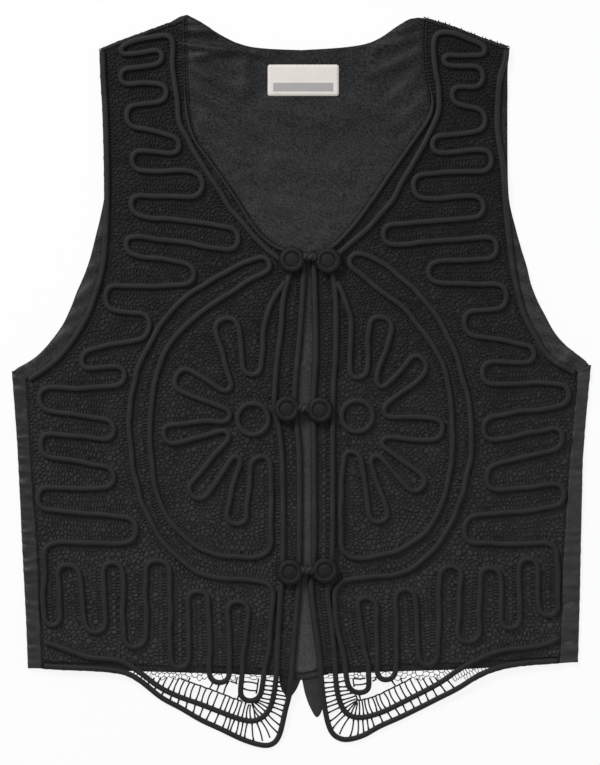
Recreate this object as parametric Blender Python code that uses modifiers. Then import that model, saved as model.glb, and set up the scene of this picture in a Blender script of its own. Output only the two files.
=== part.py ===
"""A waist-length vest with cord lace fronts and a satin back, laid flat on its back.

The fronts are needle lace held by a raised cord, which is laid in a half flower, two arcs and
long turns. Below the back's straight hem they end in two open points. X runs across the vest,
Y runs up to the neck and Z up from the surface it lies on. Everything is built in metres.
"""

import math

import bmesh
import bpy
from mathutils import Vector

MM = 0.001

# Cloth, in millimetres
WALL = 1.0
GAP = 0.3
LINING_Z = WALL + GAP
FRONT_Z = 2 * (WALL + GAP)
FOLD_RADIUS = (FRONT_Z + WALL) / 2
LINING_INSET = 0.8
LINING_HEM_RISE = 5.0
HEM_ZONE = -200.0

# The round cord that carries the lace, and its flattened section: half widths and heights
CORD_WIDTH = 4.4
CORD_HEIGHT = 2.6
CORD_SHOULDER = (1.5, 2.1)
EDGE_INSET = CORD_WIDTH / 2 + 0.2
CORD_Z = FRONT_Z + WALL + GAP

# Its rounded bends: the reach from which one gets a further step, and the least step. Below them,
# the least that the cloth bends for a point to be added.
LONG_BEND = 25.0
LEAST_STEP = 1.2
LEAST_BEND = 0.02

# The tie ends lie between the back and the surface, and lift everything above them
TIE_THICK = 1.2
LIFT = TIE_THICK + GAP
LIFT_OUT = (20.0, 36.0)
LIFT_TOP = (-110.0, -94.0)
LIFT_LOW = (-279.0, -293.0)

# The fronts' points come down to the surface past the back's hem
DROP = (-248.0, -268.0)

# Lace holes in the points: pitch along the cord, depth of a cell, and the bars left between
HOLE_PITCH = 8.0
HOLE_DEPTH = 10.0
HOLE_BAR = 1.3
HOLE_LEAST = 3.2
HOLE_REACH = 45.0
HOLE_TOP = -249.0
CUTTER_REACH = 5.0

KNOT_Z = CORD_Z + CORD_HEIGHT + GAP
KNOT_RADIUS = 11.0
KNOT_HEIGHT = 6.4
KNOT_RIBS = 14
KNOT_WAIST = 0.9
LINK_RADIUS = 2.6

LABEL = {"x": (-28.0, 31.0), "y": (236.8, 262.8), "corner": 3.0}

# The back, from the photo. Each row is out from the centre line, then up.
BACK = {
    "left": {
        "shoulder": [(167, 273.5), (152, 280.5), (131.5, 288), (115, 294.7), (101, 302.7), (95, 304.3)],
        "neck": [(95, 304.3), (84, 298.5), (67.5, 288), (51, 280), (33, 276.5), (0, 275)],
        "armhole": [
            (240.3, 8.7), (221, 20), (207, 34.5), (196, 51), (185.5, 76), (177, 97),
            (171.5, 117.5), (166.5, 138), (163, 159), (163, 192), (164.5, 230), (167, 273.5),
        ],
        "side": [(227, -237.8), (228.5, -198), (232, -132), (233.5, -98), (236, -49), (240.3, 8.7)],
        "hem": [(0, -247.5), (22, -244), (117, -241), (167, -239.5), (227, -237.8)],
    },
    "right": {
        "shoulder": [(172.3, 276.5), (156, 280.5), (141, 286.5), (124, 291.5), (106, 299), (97, 302)],
        "neck": [(97, 302), (90, 301), (77.5, 293.5), (65, 285), (52.5, 280), (32, 277), (0, 275)],
        "armhole": [
            (240.3, 13.7), (231, 21), (221, 28.5), (210.5, 40), (202, 55), (192, 76), (186.5, 97),
            (181.5, 113), (177, 130), (173, 146.5), (171.5, 163), (171, 192), (171, 254), (172.3, 276.5),
        ],
        "side": [(228.5, -232.8), (229.5, -181), (230, -132), (233.5, -65), (236, -32), (240.3, 13.7)],
        "hem": [(0, -247.5), (22, -242.5), (115, -239.5), (165, -237), (228.5, -232.8)],
    },
}
UNDERARM_DIP = 7.0
SLACK = 0.1

# The fronts' outer edges, in the same way. The placket runs on round the point into the hem.
FRONT = {
    "left": {
        "neck": [
            (95.5, 302.5), (95, 267), (94, 234), (91.5, 215), (86, 200), (78.5, 190), (71, 179.5),
            (61, 165.5), (51, 150.5), (40, 133), (30, 121), (19, 113), (7, 109.5), (-4.5, 108),
        ],
        "placket": [
            (-4.5, 108), (-4.5, 99), (-3, 68), (-0.5, 34), (2, 9), (3.5, -15), (2, -32), (-0.5, -65),
            (-0.5, -148), (1, -181), (4.5, -223), (7, -256), (11, -273), (15, -291), (19, -300),
            (26, -304.3), (36, -303.5), (51, -298.5), (67.5, -290.5), (84, -283), (101, -273),
            (117.5, -264), (134, -250.5), (146.5, -243.5), (167, -240.5), (200, -239), (215, -238),
        ],
        "seam": [(215, -238), (219.5, -148), (224.5, -65), (227, -15), (228.5, 3)],
        "armhole": [
            (228.5, 3), (215.7, 11.4), (203.6, 21), (192.6, 34.4), (183.2, 49.4), (176.3, 64.4), (167, 97),
            (164, 138), (163.5, 159), (164, 192), (165, 225), (166.5, 250), (167.5, 275.5),
        ],
        "shoulder": [(167.5, 275.5), (152, 282), (131.5, 289.5), (115, 295.5), (95.5, 302.5)],
    },
    "right": {
        "neck": [
            (101.5, 302), (100.5, 285), (101.2, 262), (103, 250), (105.5, 238), (106.5, 230),
            (104, 221), (99.5, 213), (93, 204), (86, 194), (77.5, 182), (69, 170), (61, 158), (52.5, 146), (44.5, 135), (34.5, 123.5),
            (26, 115), (17, 110), (8.5, 108),
        ],
        "placket": [
            (8.5, 108), (8, 99), (8.7, 68), (9.5, 26), (7.5, -15), (8, -65), (8, -148), (5.5, -169),
            (8.5, -198), (12, -223), (15, -256), (17.5, -274), (20, -285), (24, -294), (32, -299),
            (40, -299.3), (53, -295.5), (65, -288.5), (82, -281), (98.5, -273), (115, -264.5),
            (131.5, -256), (148, -245.5), (165, -239), (181.5, -236), (198, -234.5), (214.5, -233.5),
        ],
        "seam": [(214.5, -233.5), (219.5, -148), (222, -98), (224.5, -49), (227, -15), (228.5, 8.5)],
        "armhole": [
            (228.5, 8.5), (218.5, 14.4), (209.2, 19.7), (202, 27.5), (195.9, 38.4), (189.1, 50.6),
            (184.3, 62.9), (178.8, 86), (174.7, 113.5), (171.4, 146.5), (169.2, 178), (165.2, 203),
            (164.4, 217), (165.7, 244.7), (167.8, 256), (171, 265), (172.5, 277.5),
        ],
        "shoulder": [(172.5, 277.5), (156, 283), (141, 288.5), (124, 295), (101.5, 302)],
    },
}

# The half flower. A petal row is its direction in degrees from straight out, its reach from the
# flower's centre and its width. An inner row is the turn before each petal, and the last one after.
FLOWER = {
    "left": {
        "centre": (40.3, -31),
        "petals": [(74, 87, 21), (29.5, 73, 20), (-10.5, 76, 19), (-52, 81, 19), (-80, 88, 18)],
        "inner": [(89, 36.5, 15), (51, 31, 8), (8, 19.5, 8), (-30.5, 22.5, 8), (-67, 33, 8), (-101, 31, 16)],
    },
    "right": {
        "centre": (46, -28.5),
        "petals": [(76, 85, 20), (40, 73, 20), (-9.5, 72, 20), (-47.5, 80, 19), (-78, 90, 18)],
        "inner": [(90, 31.5, 14), (53, 30, 8), (9, 22, 8), (-44, 29, 8), (-68, 36, 8), (-97, 29, 14)],
    },
}
RING_RADIUS = 13.3

# The cord's other turns. A row is out, up, the way the turn faces in degrees from straight out, and
# its width. A row with None is a plain bend, and its last number is how far the rounding reaches.
ROUTE = {
    "left": {
        "start": [(20.5, 76, None, 0), (31, 55, None, 18)],
        "arcs": [
            (25.5, -90, None, 30), (25.5, -145.5, None, 14), (80, -145, None, 60), (119, -108, None, 60),
            (128, -44, None, 60), (119, 22, None, 60), (84, 60, None, 60), (27.5, 100, 150, 13),
            (56, 96, None, 60), (113, 59, None, 60), (141, 3, None, 60), (144, -61, None, 60),
            (126, -123, None, 60), (88.5, -160.5, None, 60), (47, -164.5, None, 30), (22, -166, None, 14),
            (27, -215, None, 20),
        ],
        "hem": [
            (42.7, -264.5, 270, 17.5), (53, -181.5, 90, 18), (67.5, -249.5, 270, 17.5), (86, -173, 90, 17.5),
            (101, -238, 270, 17), (119, -148, 90, 21), (138, -220.5, 270, 18), (157.5, -149.5, 90, 17),
            (170, -208, 270, 16), (194, -152, 90, 16), (206.5, -202, 270, 13), (214, -133.5, None, 12),
        ],
        "side": [
            (136.5, -123, 180, 21), (219, -96, 0, 18), (155, -80, 180, 17), (217, -51, 0, 20),
            (155, -40, 180, 17), (217, -14, 0, 18), (146.5, 5, 180, 18), (183, 18, 0, 16),
            (125.5, 47, 180, 22), (163, 69, 0, 21), (88.5, 88.5, 180, 17), (147, 114, 0, 15),
            (53, 117.5, 180, 18), (141, 146.5, 0, 16), (82, 163, 180, 22), (140, 184, 0, 17),
            (100.5, 196, 180, 14), (146, 220, 0, 18), (112, 239.5, 180, 15), (150, 252.5, 0, 12),
            (115, 269.5, 180, 12), (150.5, 274, 0, 7.5), (131.5, 285, None, 10), (107, 288, None, 8),
        ],
        "neck": [
            (106.5, 258, None, 30), (104, 232, None, 30), (100, 208, None, 30), (78, 172, None, 30),
            (43.5, 121, None, 30), (20, 101, None, 0),
        ],
    },
    "right": {
        "start": [(34, 78, None, 0), (41, 60, None, 16)],
        "arcs": [
            (32.5, -90, None, 30), (32, -145.5, None, 14), (77.5, -145, None, 60), (115, -115, None, 60),
            (127.5, -53, None, 60), (121, 9.5, None, 60), (94, 55, None, 60), (40.5, 102, 150, 11),
            (63.5, 104, None, 60), (115, 55, None, 60), (138, -3, None, 60), (142.5, -61, None, 60),
            (125, -123, None, 60), (90, -160, None, 60), (48.5, -163, None, 30), (26, -165, None, 14),
            (31.5, -215, None, 20),
        ],
        "hem": [
            (49.5, -258.5, 270, 17), (53.5, -179, 90, 16), (71, -248, 270, 16), (86, -171.5, 90, 16),
            (105, -235, 270, 16), (123.5, -153, 90, 18), (137.5, -216, 270, 18), (156.5, -154, 90, 17),
            (173, -204, 270, 16), (188, -146.5, 90, 17), (204, -194, 270, 16), (212, -134, None, 10),
        ],
        "side": [
            (134, -123, 180, 22), (217, -94, 0, 19), (152.5, -80, 180, 20), (216, -46, 0, 19),
            (150.5, -40, 180, 20), (222, -9.5, 0, 18), (149, 7, 180, 19), (192.5, 23, 0, 14),
            (134, 49.5, 180, 22), (171, 70, 0, 22), (105, 91, 180, 17), (162, 111.5, 0, 18),
            (67, 121.5, 180, 18), (150.5, 145, 0, 18), (92.5, 161.5, 180, 21), (158, 184, 0, 19),
            (108.5, 196.5, 180, 15), (153, 217, 0, 19), (124, 237, 180, 14), (150.5, 252.5, 0, 17),
            (117, 266.3, 180, 8.5), (153, 274.5, 0, 8.5), (134.5, 286, None, 10), (109.5, 292, None, 10),
        ],
        "neck": [
            (109.5, 262, None, 30), (114.5, 241, None, 12), (115, 226, None, 12), (110, 213, None, 12),
            (80, 158.5, None, 20), (73, 147, None, 16), (52.5, 124.5, None, 16), (36, 109, None, 0),
        ],
    },
}

# The second cord: down the placket, round the point and along the hem. Rows are out, up.
INNER_CORD = {
    "left": [
        (10, 88), (15.4, 67.5), (17, 43), (20.3, 18), (22.5, -15), (20, -32), (16.2, -65), (15.4, -148),
        (17.8, -181), (19.5, -215), (21.2, -248), (26.5, -272), (38, -281.5), (51, -280), (67.5, -274),
        (84, -267.5), (101, -261.5), (117.5, -253.5), (134, -241), (150.5, -231), (175.5, -228.5),
        (200, -224.5), (213, -219.5),
    ],
    "right": [
        (26, 88), (28.3, 68), (28.3, 26), (26, -15), (25.3, -140), (21.2, -169), (25.3, -206), (27.5, -231),
        (29.5, -256), (35.5, -273.5), (47, -279), (65, -275), (82, -267), (98.5, -258.5), (115, -249.5),
        (131.5, -238), (148, -229.5), (165, -223), (190, -219.5), (206, -214.5), (212.5, -205),
    ],
}

# The knot buttons' centres on each front, and the tie ends' outlines, all as X and Y.
KNOTS = {
    "top": {"left": (-7.9, 100.8), "right": (22.0, 100.0)},
    "middle": {"left": (-12.0, -22.8), "right": (15.4, -23.7)},
    "low": {"left": (-9.5, -158.0), "right": (19.5, -156.5)},
}
TIES = {
    "left": [
        (-0.4, -112), (-0.4, -247), (-4.5, -256), (-10, -262), (-15.5, -257.5), (-18.5, -249), (-18, -112),
    ],
    "right": [
        (0.4, -112), (0.4, -247), (3, -259), (7, -270), (12.5, -278.5), (17, -273), (18.3, -262), (18, -112),
    ],
}


def point(side, out, up):
    """A place on the vest from its distance out and up, in metres."""
    return Vector((out if side == "right" else -out, up)) * MM


def ramp(value, low, high):
    """0 at low and 1 at high, straight between."""
    return min(1.0, max(0.0, (value - low) / (high - low)))


def lift(x, y):
    """How far the ties below hold the cloth up, at a place in millimetres."""
    across = 1 - ramp(abs(x), *LIFT_OUT)
    return LIFT * across * (1 - ramp(y, *LIFT_TOP)) * ramp(y, LIFT_LOW[1], LIFT_LOW[0])


def back_height(x, y):
    return lift(x, y)


def lining_height(x, y):
    return LINING_Z + lift(x, y)


def front_height(x, y):
    return FRONT_Z * ramp(y, DROP[1], DROP[0]) + lift(x, y)


def cord_height(x, y):
    """The highest cloth under a cord's width, as the cord lies level across."""
    half = CORD_WIDTH / 2
    beside = [(x - half, y), (x + half, y), (x, y - half), (x, y + half)]
    return max(front_height(*place) for place in beside)


def smooth(points, step):
    """Points about one step apart on a soft curve through the given ones."""
    ends = [2 * points[0] - points[1], *points, 2 * points[-1] - points[-2]]
    curve = []
    for before, start, end, after in zip(ends, ends[1:], ends[2:], ends[3:]):
        count = max(1, round((end - start).length / step))
        for i in range(count):
            t = i / count
            curve.append(
                start
                + (end - before) * (t / 2)
                + (2 * before - 5 * start + 4 * end - after) * (t * t / 2)
                + (3 * start - before - 3 * end + after) * (t**3 / 2)
            )
    return curve + [points[-1]]


def side_curve(rows, side, step=14.0):
    return smooth([point(side, *row) for row in rows], step * MM)


def inset(points, distance):
    """The same line moved to its left by the distance, with its corners kept."""
    ways = [(after - here).normalized() for here, after in zip(points, points[1:])]
    moved = []
    for here, behind, ahead in zip(points, ways[:1] + ways, ways + ways[-1:]):
        along = (ahead + behind).normalized()
        corner = max(along.dot(ahead), 0.5)
        moved.append(here + Vector((-along.y, along.x)) * (distance / corner))
    return moved


def corners_of(rows, side):
    """The corner points of a cord's turns and bends, each with the reach of its rounding."""
    corners = []
    places = [Vector(row[:2]) for row in rows]
    for i, (out, up, facing, size) in enumerate(rows):
        if facing is None:
            corners.append((places[i], size))
            continue
        before, after = places[i - 1], places[i + 1]
        across = Vector((-math.sin(math.radians(facing)), math.cos(math.radians(facing)))) * (size / 2)
        pair = [places[i] + across, places[i] - across]
        pair.sort(key=lambda corner: (corner - before).length - (corner - after).length)
        corners += [(corner, size / 2) for corner in pair]
    return [(point(side, *corner), reach * MM) for corner, reach in corners]


def rounded(corners, steps=2):
    """A line through the corners, each rounded within its reach."""
    line = [corners[0][0]]
    for (before, _), (corner, reach), (after, _) in zip(corners, corners[1:], corners[2:]):
        start = corner + (before - corner) * min(0.5, reach / (before - corner).length)
        end = corner + (after - corner) * min(0.5, reach / (after - corner).length)
        bend_steps = steps if reach < LONG_BEND * MM else steps + 1
        for i in range(bend_steps + 1):
            t = i / bend_steps
            here = start * (1 - t) ** 2 + corner * (2 * t * (1 - t)) + end * t**2
            if (here - line[-1]).length > LEAST_STEP * MM:
                line.append(here)
    line.append(corners[-1][0])
    return line


def lace_route(side):
    """The long cord of one front, from the placket to the knot at the neck."""
    flower = FLOWER[side]
    rows = list(ROUTE[side]["start"])
    turns = [flower["inner"][0]]
    for petal, inner in zip(flower["petals"], flower["inner"][1:]):
        turns += [petal, inner]
    for i, (direction, reach, width) in enumerate(turns):
        angle = math.radians(direction)
        out = flower["centre"][0] + reach * math.cos(angle)
        up = flower["centre"][1] + reach * math.sin(angle)
        facing = direction if i % 2 else direction + 180
        rows.append((out, up, facing, width))
    for part in ("arcs", "hem", "side", "neck"):
        rows += ROUTE[side][part]
    return rounded(corners_of(rows, side))


def front_outline(side):
    edges = FRONT[side]
    outline = []
    for name in ("neck", "placket", "seam", "armhole", "shoulder"):
        step = 40.0 if name == "seam" else 16.0
        outline += side_curve(edges[name], side, step)[:-1]
    return outline if side == "left" else outline[::-1]


def edge_route(side, names):
    """The binding cord, just inside the front's edge."""
    line = []
    for name in names:
        line += side_curve(FRONT[side][name], side, 16.0)[bool(line):]
    turn = -1 if side == "left" else 1
    return inset(line, turn * EDGE_INSET * MM)


def bend_lines():
    """The lines of X, and those of Y, along which the stacked cloth bends, in millimetres."""
    slopes = {name: [low + (high - low) * i / 3 for i in range(4)]
              for name, (low, high) in (("out", LIFT_OUT), ("top", LIFT_TOP), ("low", LIFT_LOW))}
    columns = [sign * x for x in slopes["out"] for sign in (-1, 1)]
    return columns, slopes["top"] + slopes["low"] + list(DROP)


def laid(line):
    """The line on the front's cloth, with points added where the cloth bends under it."""
    placed = []
    for start, end in zip(line, line[1:]):
        crossed = [0.0]
        for axis, values in enumerate(bend_lines()):
            span = (end[axis] - start[axis]) / MM
            if abs(span) > 0.01:
                crossed += [(value - start[axis] / MM) / span for value in values]
        span = [start.lerp(end, t) for t in sorted(crossed) if 0 <= t < 1]
        heights = [cord_height(p.x / MM, p.y / MM) for p in span + [end]]
        rise = (heights[-1] - heights[0]) / (end - start).length
        straight = [heights[0] + rise * (p - start).length for p in span]
        bent = max(abs(a - b) for a, b in zip(heights, straight)) > LEAST_BEND
        placed += span if bent else [start]
    placed.append(line[-1])
    apart = [p for p, after in zip(placed, placed[1:]) if (after - p).length > GAP * MM] + placed[-1:]
    return [Vector((p.x, p.y, cord_height(p.x / MM, p.y / MM) * MM)) for p in apart]


def closest(place, line):
    """The nearest point of a line to a place."""
    best = None
    for start, end in zip(line, line[1:]):
        along = end - start
        t = min(1.0, max(0.0, (place - start).dot(along) / along.length_squared))
        here = start + along * t
        if best is None or (here - place).length < (best - place).length:
            best = here
    return best


def along_line(line, pitch):
    """Places one pitch apart on a line, with the direction of the line at each."""
    places = []
    left = 0.0
    for start, end in zip(line, line[1:]):
        length = (end - start).length
        while left <= length:
            places.append((start.lerp(end, left / length), (end - start).normalized()))
            left += pitch
        left -= length
    return places


def lace_holes(side):
    """The open cells of the points, as flat quads: one row between the two hem cords, and staggered
    columns between the hem cord and the back's hem."""
    cord = side_curve(INNER_CORD[side], side, 6.0)
    edge = edge_route(side, ("placket",))
    others = [lace_route(side), cord]
    turn = 1 if side == "left" else -1
    low = [(here, along) for here, along in along_line(cord, HOLE_PITCH * MM) if here.y < HOLE_TOP * MM]
    clear = CORD_WIDTH / 2 + 0.5
    bar = HOLE_BAR / HOLE_PITCH / 2
    quads = []
    cells = []
    for i, ((near_a, way_a), (near_b, way_b)) in enumerate(zip(low, low[1:])):
        far_a, far_b = closest(near_a, edge), closest(near_b, edge)
        rim = clear * MM / (far_a - near_a).length
        quads.append(cell(near_a, near_b, far_a, far_b, bar, rim, 1 - rim))
        in_a = near_a - Vector((-way_a.y, way_a.x)) * turn * MM
        in_b = near_b - Vector((-way_b.y, way_b.x)) * turn * MM
        depth = clear if i % 2 else clear - HOLE_DEPTH / 2
        while depth < HOLE_REACH:
            first = max(depth, clear)
            last = depth + HOLE_DEPTH - HOLE_BAR
            while last - first >= HOLE_LEAST:
                quad = cell(near_a, near_b, in_a, in_b, bar, first, last)
                if is_clear(quad, others, clear) and is_clear(quad, cells, HOLE_BAR * 0.7):
                    cells.append(quad + quad[:1])
                    break
                last -= 1.0
            depth += HOLE_DEPTH
    quads += [loop[:4] for loop in cells]
    return [quad for quad in quads if max(corner.y for corner in quad) < HOLE_TOP * MM]


def cell(near_a, near_b, far_a, far_b, bar, first, last):
    """A quad between two stations, from first to last on the way from near to far."""
    def place(across, away):
        return near_a.lerp(near_b, across) * (1 - away) + far_a.lerp(far_b, across) * away

    return [place(bar, first), place(1 - bar, first), place(1 - bar, last), place(bar, last)]


def is_clear(quad, lines, distance):
    """Whether a cell is wide enough and keeps off the cords and the earlier side of its column."""
    narrow = min((quad[0] - quad[1]).length, (quad[2] - quad[3]).length)
    if narrow < HOLE_LEAST * MM or (quad[1] - quad[0]).dot(quad[2] - quad[3]) <= 0:
        return False
    tests = quad + [sum(quad, Vector((0, 0))) / 4]
    tests += [a.lerp(b, 0.5) for a, b in zip(quad, quad[1:] + quad[:1])]
    return all((closest(t, line) - t).length > distance * MM * 0.999 for t in tests for line in lines)


def collection(name, hidden=False):
    made = bpy.data.collections.new(name)
    made.hide_render = hidden
    bpy.context.scene.collection.children.link(made)
    return made


def finish(name, colour, roughness):
    """A Principled material. Nothing on the vest is metal."""
    material = bpy.data.materials.new(name)
    material.use_nodes = True
    shader = material.node_tree.nodes["Principled BSDF"]
    shader.inputs["Base Color"].default_value = (*colour, 1)
    shader.inputs["Roughness"].default_value = roughness
    shader.inputs["Metallic"].default_value = 0
    return material


def add(name, data, material, home):
    """A new object of the vest, or a guide, from its mesh or curve."""
    made = bpy.data.objects.new(name, data)
    if material:
        data.materials.append(material)
    home.objects.link(made)
    return made


def wall(outline, height, outward):
    """A cloth wall: its outline, cut where the cloth under it bends, laid at its height and thickened."""
    mesh = bmesh.new()
    mesh.faces.new([mesh.verts.new((p.x, p.y, 0)) for p in outline])
    for axis, lines in zip((Vector((1, 0, 0)), Vector((0, 1, 0))), bend_lines()):
        for line in lines:
            parts = mesh.verts[:] + mesh.edges[:] + mesh.faces[:]
            bmesh.ops.bisect_plane(mesh, geom=parts, dist=1e-5, plane_co=axis * line * MM, plane_no=axis)
    for vert in mesh.verts:
        vert.co.z = height(vert.co.x / MM, vert.co.y / MM) * MM
    bmesh.ops.triangulate(mesh, faces=mesh.faces[:])
    for face in mesh.faces:
        face.normal_update()
        if face.normal.z * outward < 0:
            face.normal_flip()
    return mesh


def thicken(made, offset):
    solid = made.modifiers.new("thickness", "SOLIDIFY")
    solid.thickness = WALL * MM
    solid.offset = offset
    solid.use_even_offset = True


def to_object(name, mesh, material, home):
    data = bpy.data.meshes.new(name)
    mesh.to_mesh(data)
    mesh.free()
    return add(name, data, material, home)


def side_out(rows, up):
    """How far out a side edge is at a height."""
    for (out_a, up_a), (out_b, up_b) in zip(rows, rows[1:]):
        if up <= up_b or (out_b, up_b) == rows[-1]:
            return out_a + (out_b - out_a) * (up - up_a) / (up_b - up_a)


def back_outline(fold, edge, hem_rise):
    """The back's outline, with its sides moved in by fold, the other edges by edge, and the hem raised."""
    halves = {}
    for side, edges in BACK.items():
        half = side_curve(edges["neck"], side)[::-1]
        half += side_curve(edges["shoulder"], side)[::-1][1:]
        half += side_curve(edges["armhole"], side)[::-1][1:-1]
        half += [point(side, out - fold, up) for out, up in edges["side"][::-1]]
        half += side_curve(edges["hem"], side, 30.0)[::-1][1:]
        halves[side] = half
    loop = halves["left"][:-1] + halves["right"][::-1][:-1]
    if edge:
        loop = inset(loop + loop[:1], edge * MM)[:-1]
    return [p + Vector((0, hem_rise * MM if p.y < HEM_ZONE * MM else 0)) for p in loop]


def build_back(satin, home):
    """The satin back. Below the underarms its sides fold over to the front, as far as the side seams."""
    outline = back_outline(FOLD_RADIUS, 0, 0)
    mesh = wall(outline, back_height, -1)
    for side, edges in BACK.items():
        sign = 1 if side == "right" else -1
        top = edges["side"][-1][1]

        def on_side(vert):
            out, up = vert.co.x * sign / MM, vert.co.y / MM
            return out > side_out(edges["side"], up) - FOLD_RADIUS - SLACK and up < top + SLACK

        rim = [edge for edge in mesh.edges if edge.is_boundary and all(map(on_side, edge.verts))]
        for angle in [math.radians(a) for a in (-45, 0, 45, 90)] + [None]:
            made = bmesh.ops.extrude_edge_only(mesh, edges=rim)["geom"]
            for vert in [part for part in made if isinstance(part, bmesh.types.BMVert)]:
                up = vert.co.y / MM
                if angle is None:
                    vert.co.x = sign * (side_out(FRONT[side]["seam"], up) + GAP / 2) * MM
                    if up > top - SLACK:
                        vert.co.y -= UNDERARM_DIP * MM
                else:
                    fold = side_out(edges["side"], up) - FOLD_RADIUS
                    vert.co.x = sign * (fold + FOLD_RADIUS * math.cos(angle)) * MM
                    vert.co.z = FOLD_RADIUS * (1 + math.sin(angle)) * MM
            rim = [part for part in made if isinstance(part, bmesh.types.BMEdge)]
    bmesh.ops.recalc_face_normals(mesh, faces=mesh.faces[:])
    lowest = min(mesh.faces, key=lambda face: face.calc_center_median().z - abs(face.normal.z))
    if lowest.normal.z > 0:
        bmesh.ops.reverse_faces(mesh, faces=mesh.faces[:])
    made = to_object("back_shell", mesh, satin, home)
    thicken(made, -1)


def build_lining(cloth, home):
    outline = back_outline(FOLD_RADIUS + LINING_INSET, LINING_INSET, LINING_HEM_RISE)
    made = to_object("back_lining", wall(outline, lining_height, 1), cloth, home)
    thicken(made, 1)


def build_label(woven, home):
    """The woven label, left bare, with clipped corners."""
    (left, right), (low, high), clip = LABEL["x"], LABEL["y"], LABEL["corner"]
    corners = []
    for x, y, in_x, in_y in (
        (left, low, clip, clip),
        (right, low, -clip, clip),
        (right, high, -clip, -clip),
        (left, high, clip, -clip),
    ):
        ends = [(x + in_x, y), (x + in_x * 0.3, y + in_y * 0.3), (x, y + in_y)]
        corners += ends if in_x * in_y < 0 else ends[::-1]
    mesh = bmesh.new()
    height = (LINING_Z + WALL + GAP) * MM
    mesh.faces.new([mesh.verts.new((x * MM, y * MM, height)) for x, y in corners])
    bmesh.ops.recalc_face_normals(mesh, faces=mesh.faces[:])
    if mesh.faces[:][0].normal.z < 0:
        bmesh.ops.reverse_faces(mesh, faces=mesh.faces[:])
    thicken(to_object("label", mesh, woven, home), 1)


def build_tie(side, satin, home):
    """The end of a back tie, which shows below the hem. It runs up under the back to the waist."""
    mesh = bmesh.new()
    outline = [Vector(row) * MM for row in TIES[side]]
    mesh.faces.new([mesh.verts.new((p.x, p.y, 0)) for p in outline])
    mesh.normal_update()
    if mesh.faces[:][0].normal.z < 0:
        bmesh.ops.reverse_faces(mesh, faces=mesh.faces[:])
    made = to_object(f"tie_{side}", mesh, satin, home)
    thicken(made, 1)
    made.modifiers["thickness"].thickness = TIE_THICK * MM


def build_front(side, lace, home, cutters):
    """One front's lace, as a wall with the open cells of its point cut through."""
    made = to_object(f"lace_{side}", wall(front_outline(side), front_height, 1), lace, home)
    thicken(made, 1)
    cells = bmesh.new()
    for quad in lace_holes(side):
        face = cells.faces.new([cells.verts.new((p.x, p.y, -CUTTER_REACH * MM)) for p in quad])
        face.normal_update()
        if face.normal.z > 0:
            face.normal_flip()
        rise = bmesh.ops.extrude_face_region(cells, geom=[face], use_keep_orig=True)["geom"]
        top = [part for part in rise if isinstance(part, bmesh.types.BMVert)]
        bmesh.ops.translate(cells, verts=top, vec=(0, 0, 3 * CUTTER_REACH * MM))
    bmesh.ops.recalc_face_normals(cells, faces=cells.faces[:])
    cutter = to_object(f"lace_holes_{side}", cells, None, cutters)
    cutter.hide_render = True
    cutter.display_type = "WIRE"
    cut = made.modifiers.new("holes", "BOOLEAN")
    cut.operation = "DIFFERENCE"
    cut.object = cutter
    cut.solver = "EXACT"


def cord_section(cutters):
    """The cord's section, flat where it is sewn down, as a guide curve."""
    half, (shoulder, rise) = CORD_WIDTH / 2, CORD_SHOULDER
    corners = [(-half, 0), (-shoulder, rise), (0, CORD_HEIGHT), (shoulder, rise), (half, 0)]
    curve = bpy.data.curves.new("cord_section", "CURVE")
    curve.dimensions = "2D"
    curve.fill_mode = "NONE"
    spline = curve.splines.new("POLY")
    spline.points.add(len(corners) - 1)
    for place, (x, y) in zip(spline.points, corners):
        place.co = (x * MM, y * MM, 0, 1)
    spline.use_cyclic_u = True
    guide = add("cord_section", curve, None, cutters)
    guide.hide_render = True
    guide.display_type = "WIRE"
    return guide


def build_cord(name, line, section, material, home, closed=False):
    """A sewn-down cord: its section run along a line on the lace."""
    curve = bpy.data.curves.new(name, "CURVE")
    curve.dimensions = "3D"
    curve.twist_mode = "Z_UP"
    curve.bevel_mode = "OBJECT"
    curve.bevel_object = section
    curve.use_fill_caps = True
    path = laid(line)
    spline = curve.splines.new("POLY")
    spline.points.add(len(path) - 1)
    for place, here in zip(spline.points, path):
        place.co = (here.x, here.y, here.z + (WALL + GAP) * MM, 1)
    spline.use_cyclic_u = closed
    return add(name, curve, material, home)


def turned(mesh, profile, axis, steps):
    """Turns a profile into a closed round body."""
    whole = 2 * math.pi
    bmesh.ops.spin(mesh, geom=profile, axis=axis, cent=(0, 0, 0), angle=whole, steps=steps, use_merge=True)
    bmesh.ops.remove_doubles(mesh, verts=mesh.verts[:], dist=1e-6)


def build_knot(place, side, material, home):
    """A knot button: a coiled, ribbed disc, turned from its profile, its rim drawn in between the ribs."""
    profile = [(0, 0), (0.82, 0), (1, 0.3), (0.95, 0.66), (0.66, 0.9), (0.56, 0.74), (0.42, 0.94), (0, 1)]
    mesh = bmesh.new()
    points = [mesh.verts.new((r * KNOT_RADIUS * MM, 0, z * KNOT_HEIGHT * MM)) for r, z in profile]
    edges = [mesh.edges.new(pair) for pair in zip(points, points[1:])]
    steps = 2 * KNOT_RIBS
    turned(mesh, points + edges, (0, 0, 1), steps)
    for vert in mesh.verts:
        reach = vert.co.xy.length
        column = round(math.atan2(vert.co.y, vert.co.x) / (2 * math.pi) * steps)
        if reach > KNOT_WAIST * KNOT_RADIUS * MM and column % 2:
            vert.co.xy *= KNOT_WAIST
    bmesh.ops.recalc_face_normals(mesh, faces=mesh.faces[:])
    made = to_object(f"knot_{place}_{side}", mesh, material, home)
    x, y = KNOTS[place][side]
    made.location = (x * MM, y * MM, (KNOT_Z + lift(x, y)) * MM)


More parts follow.
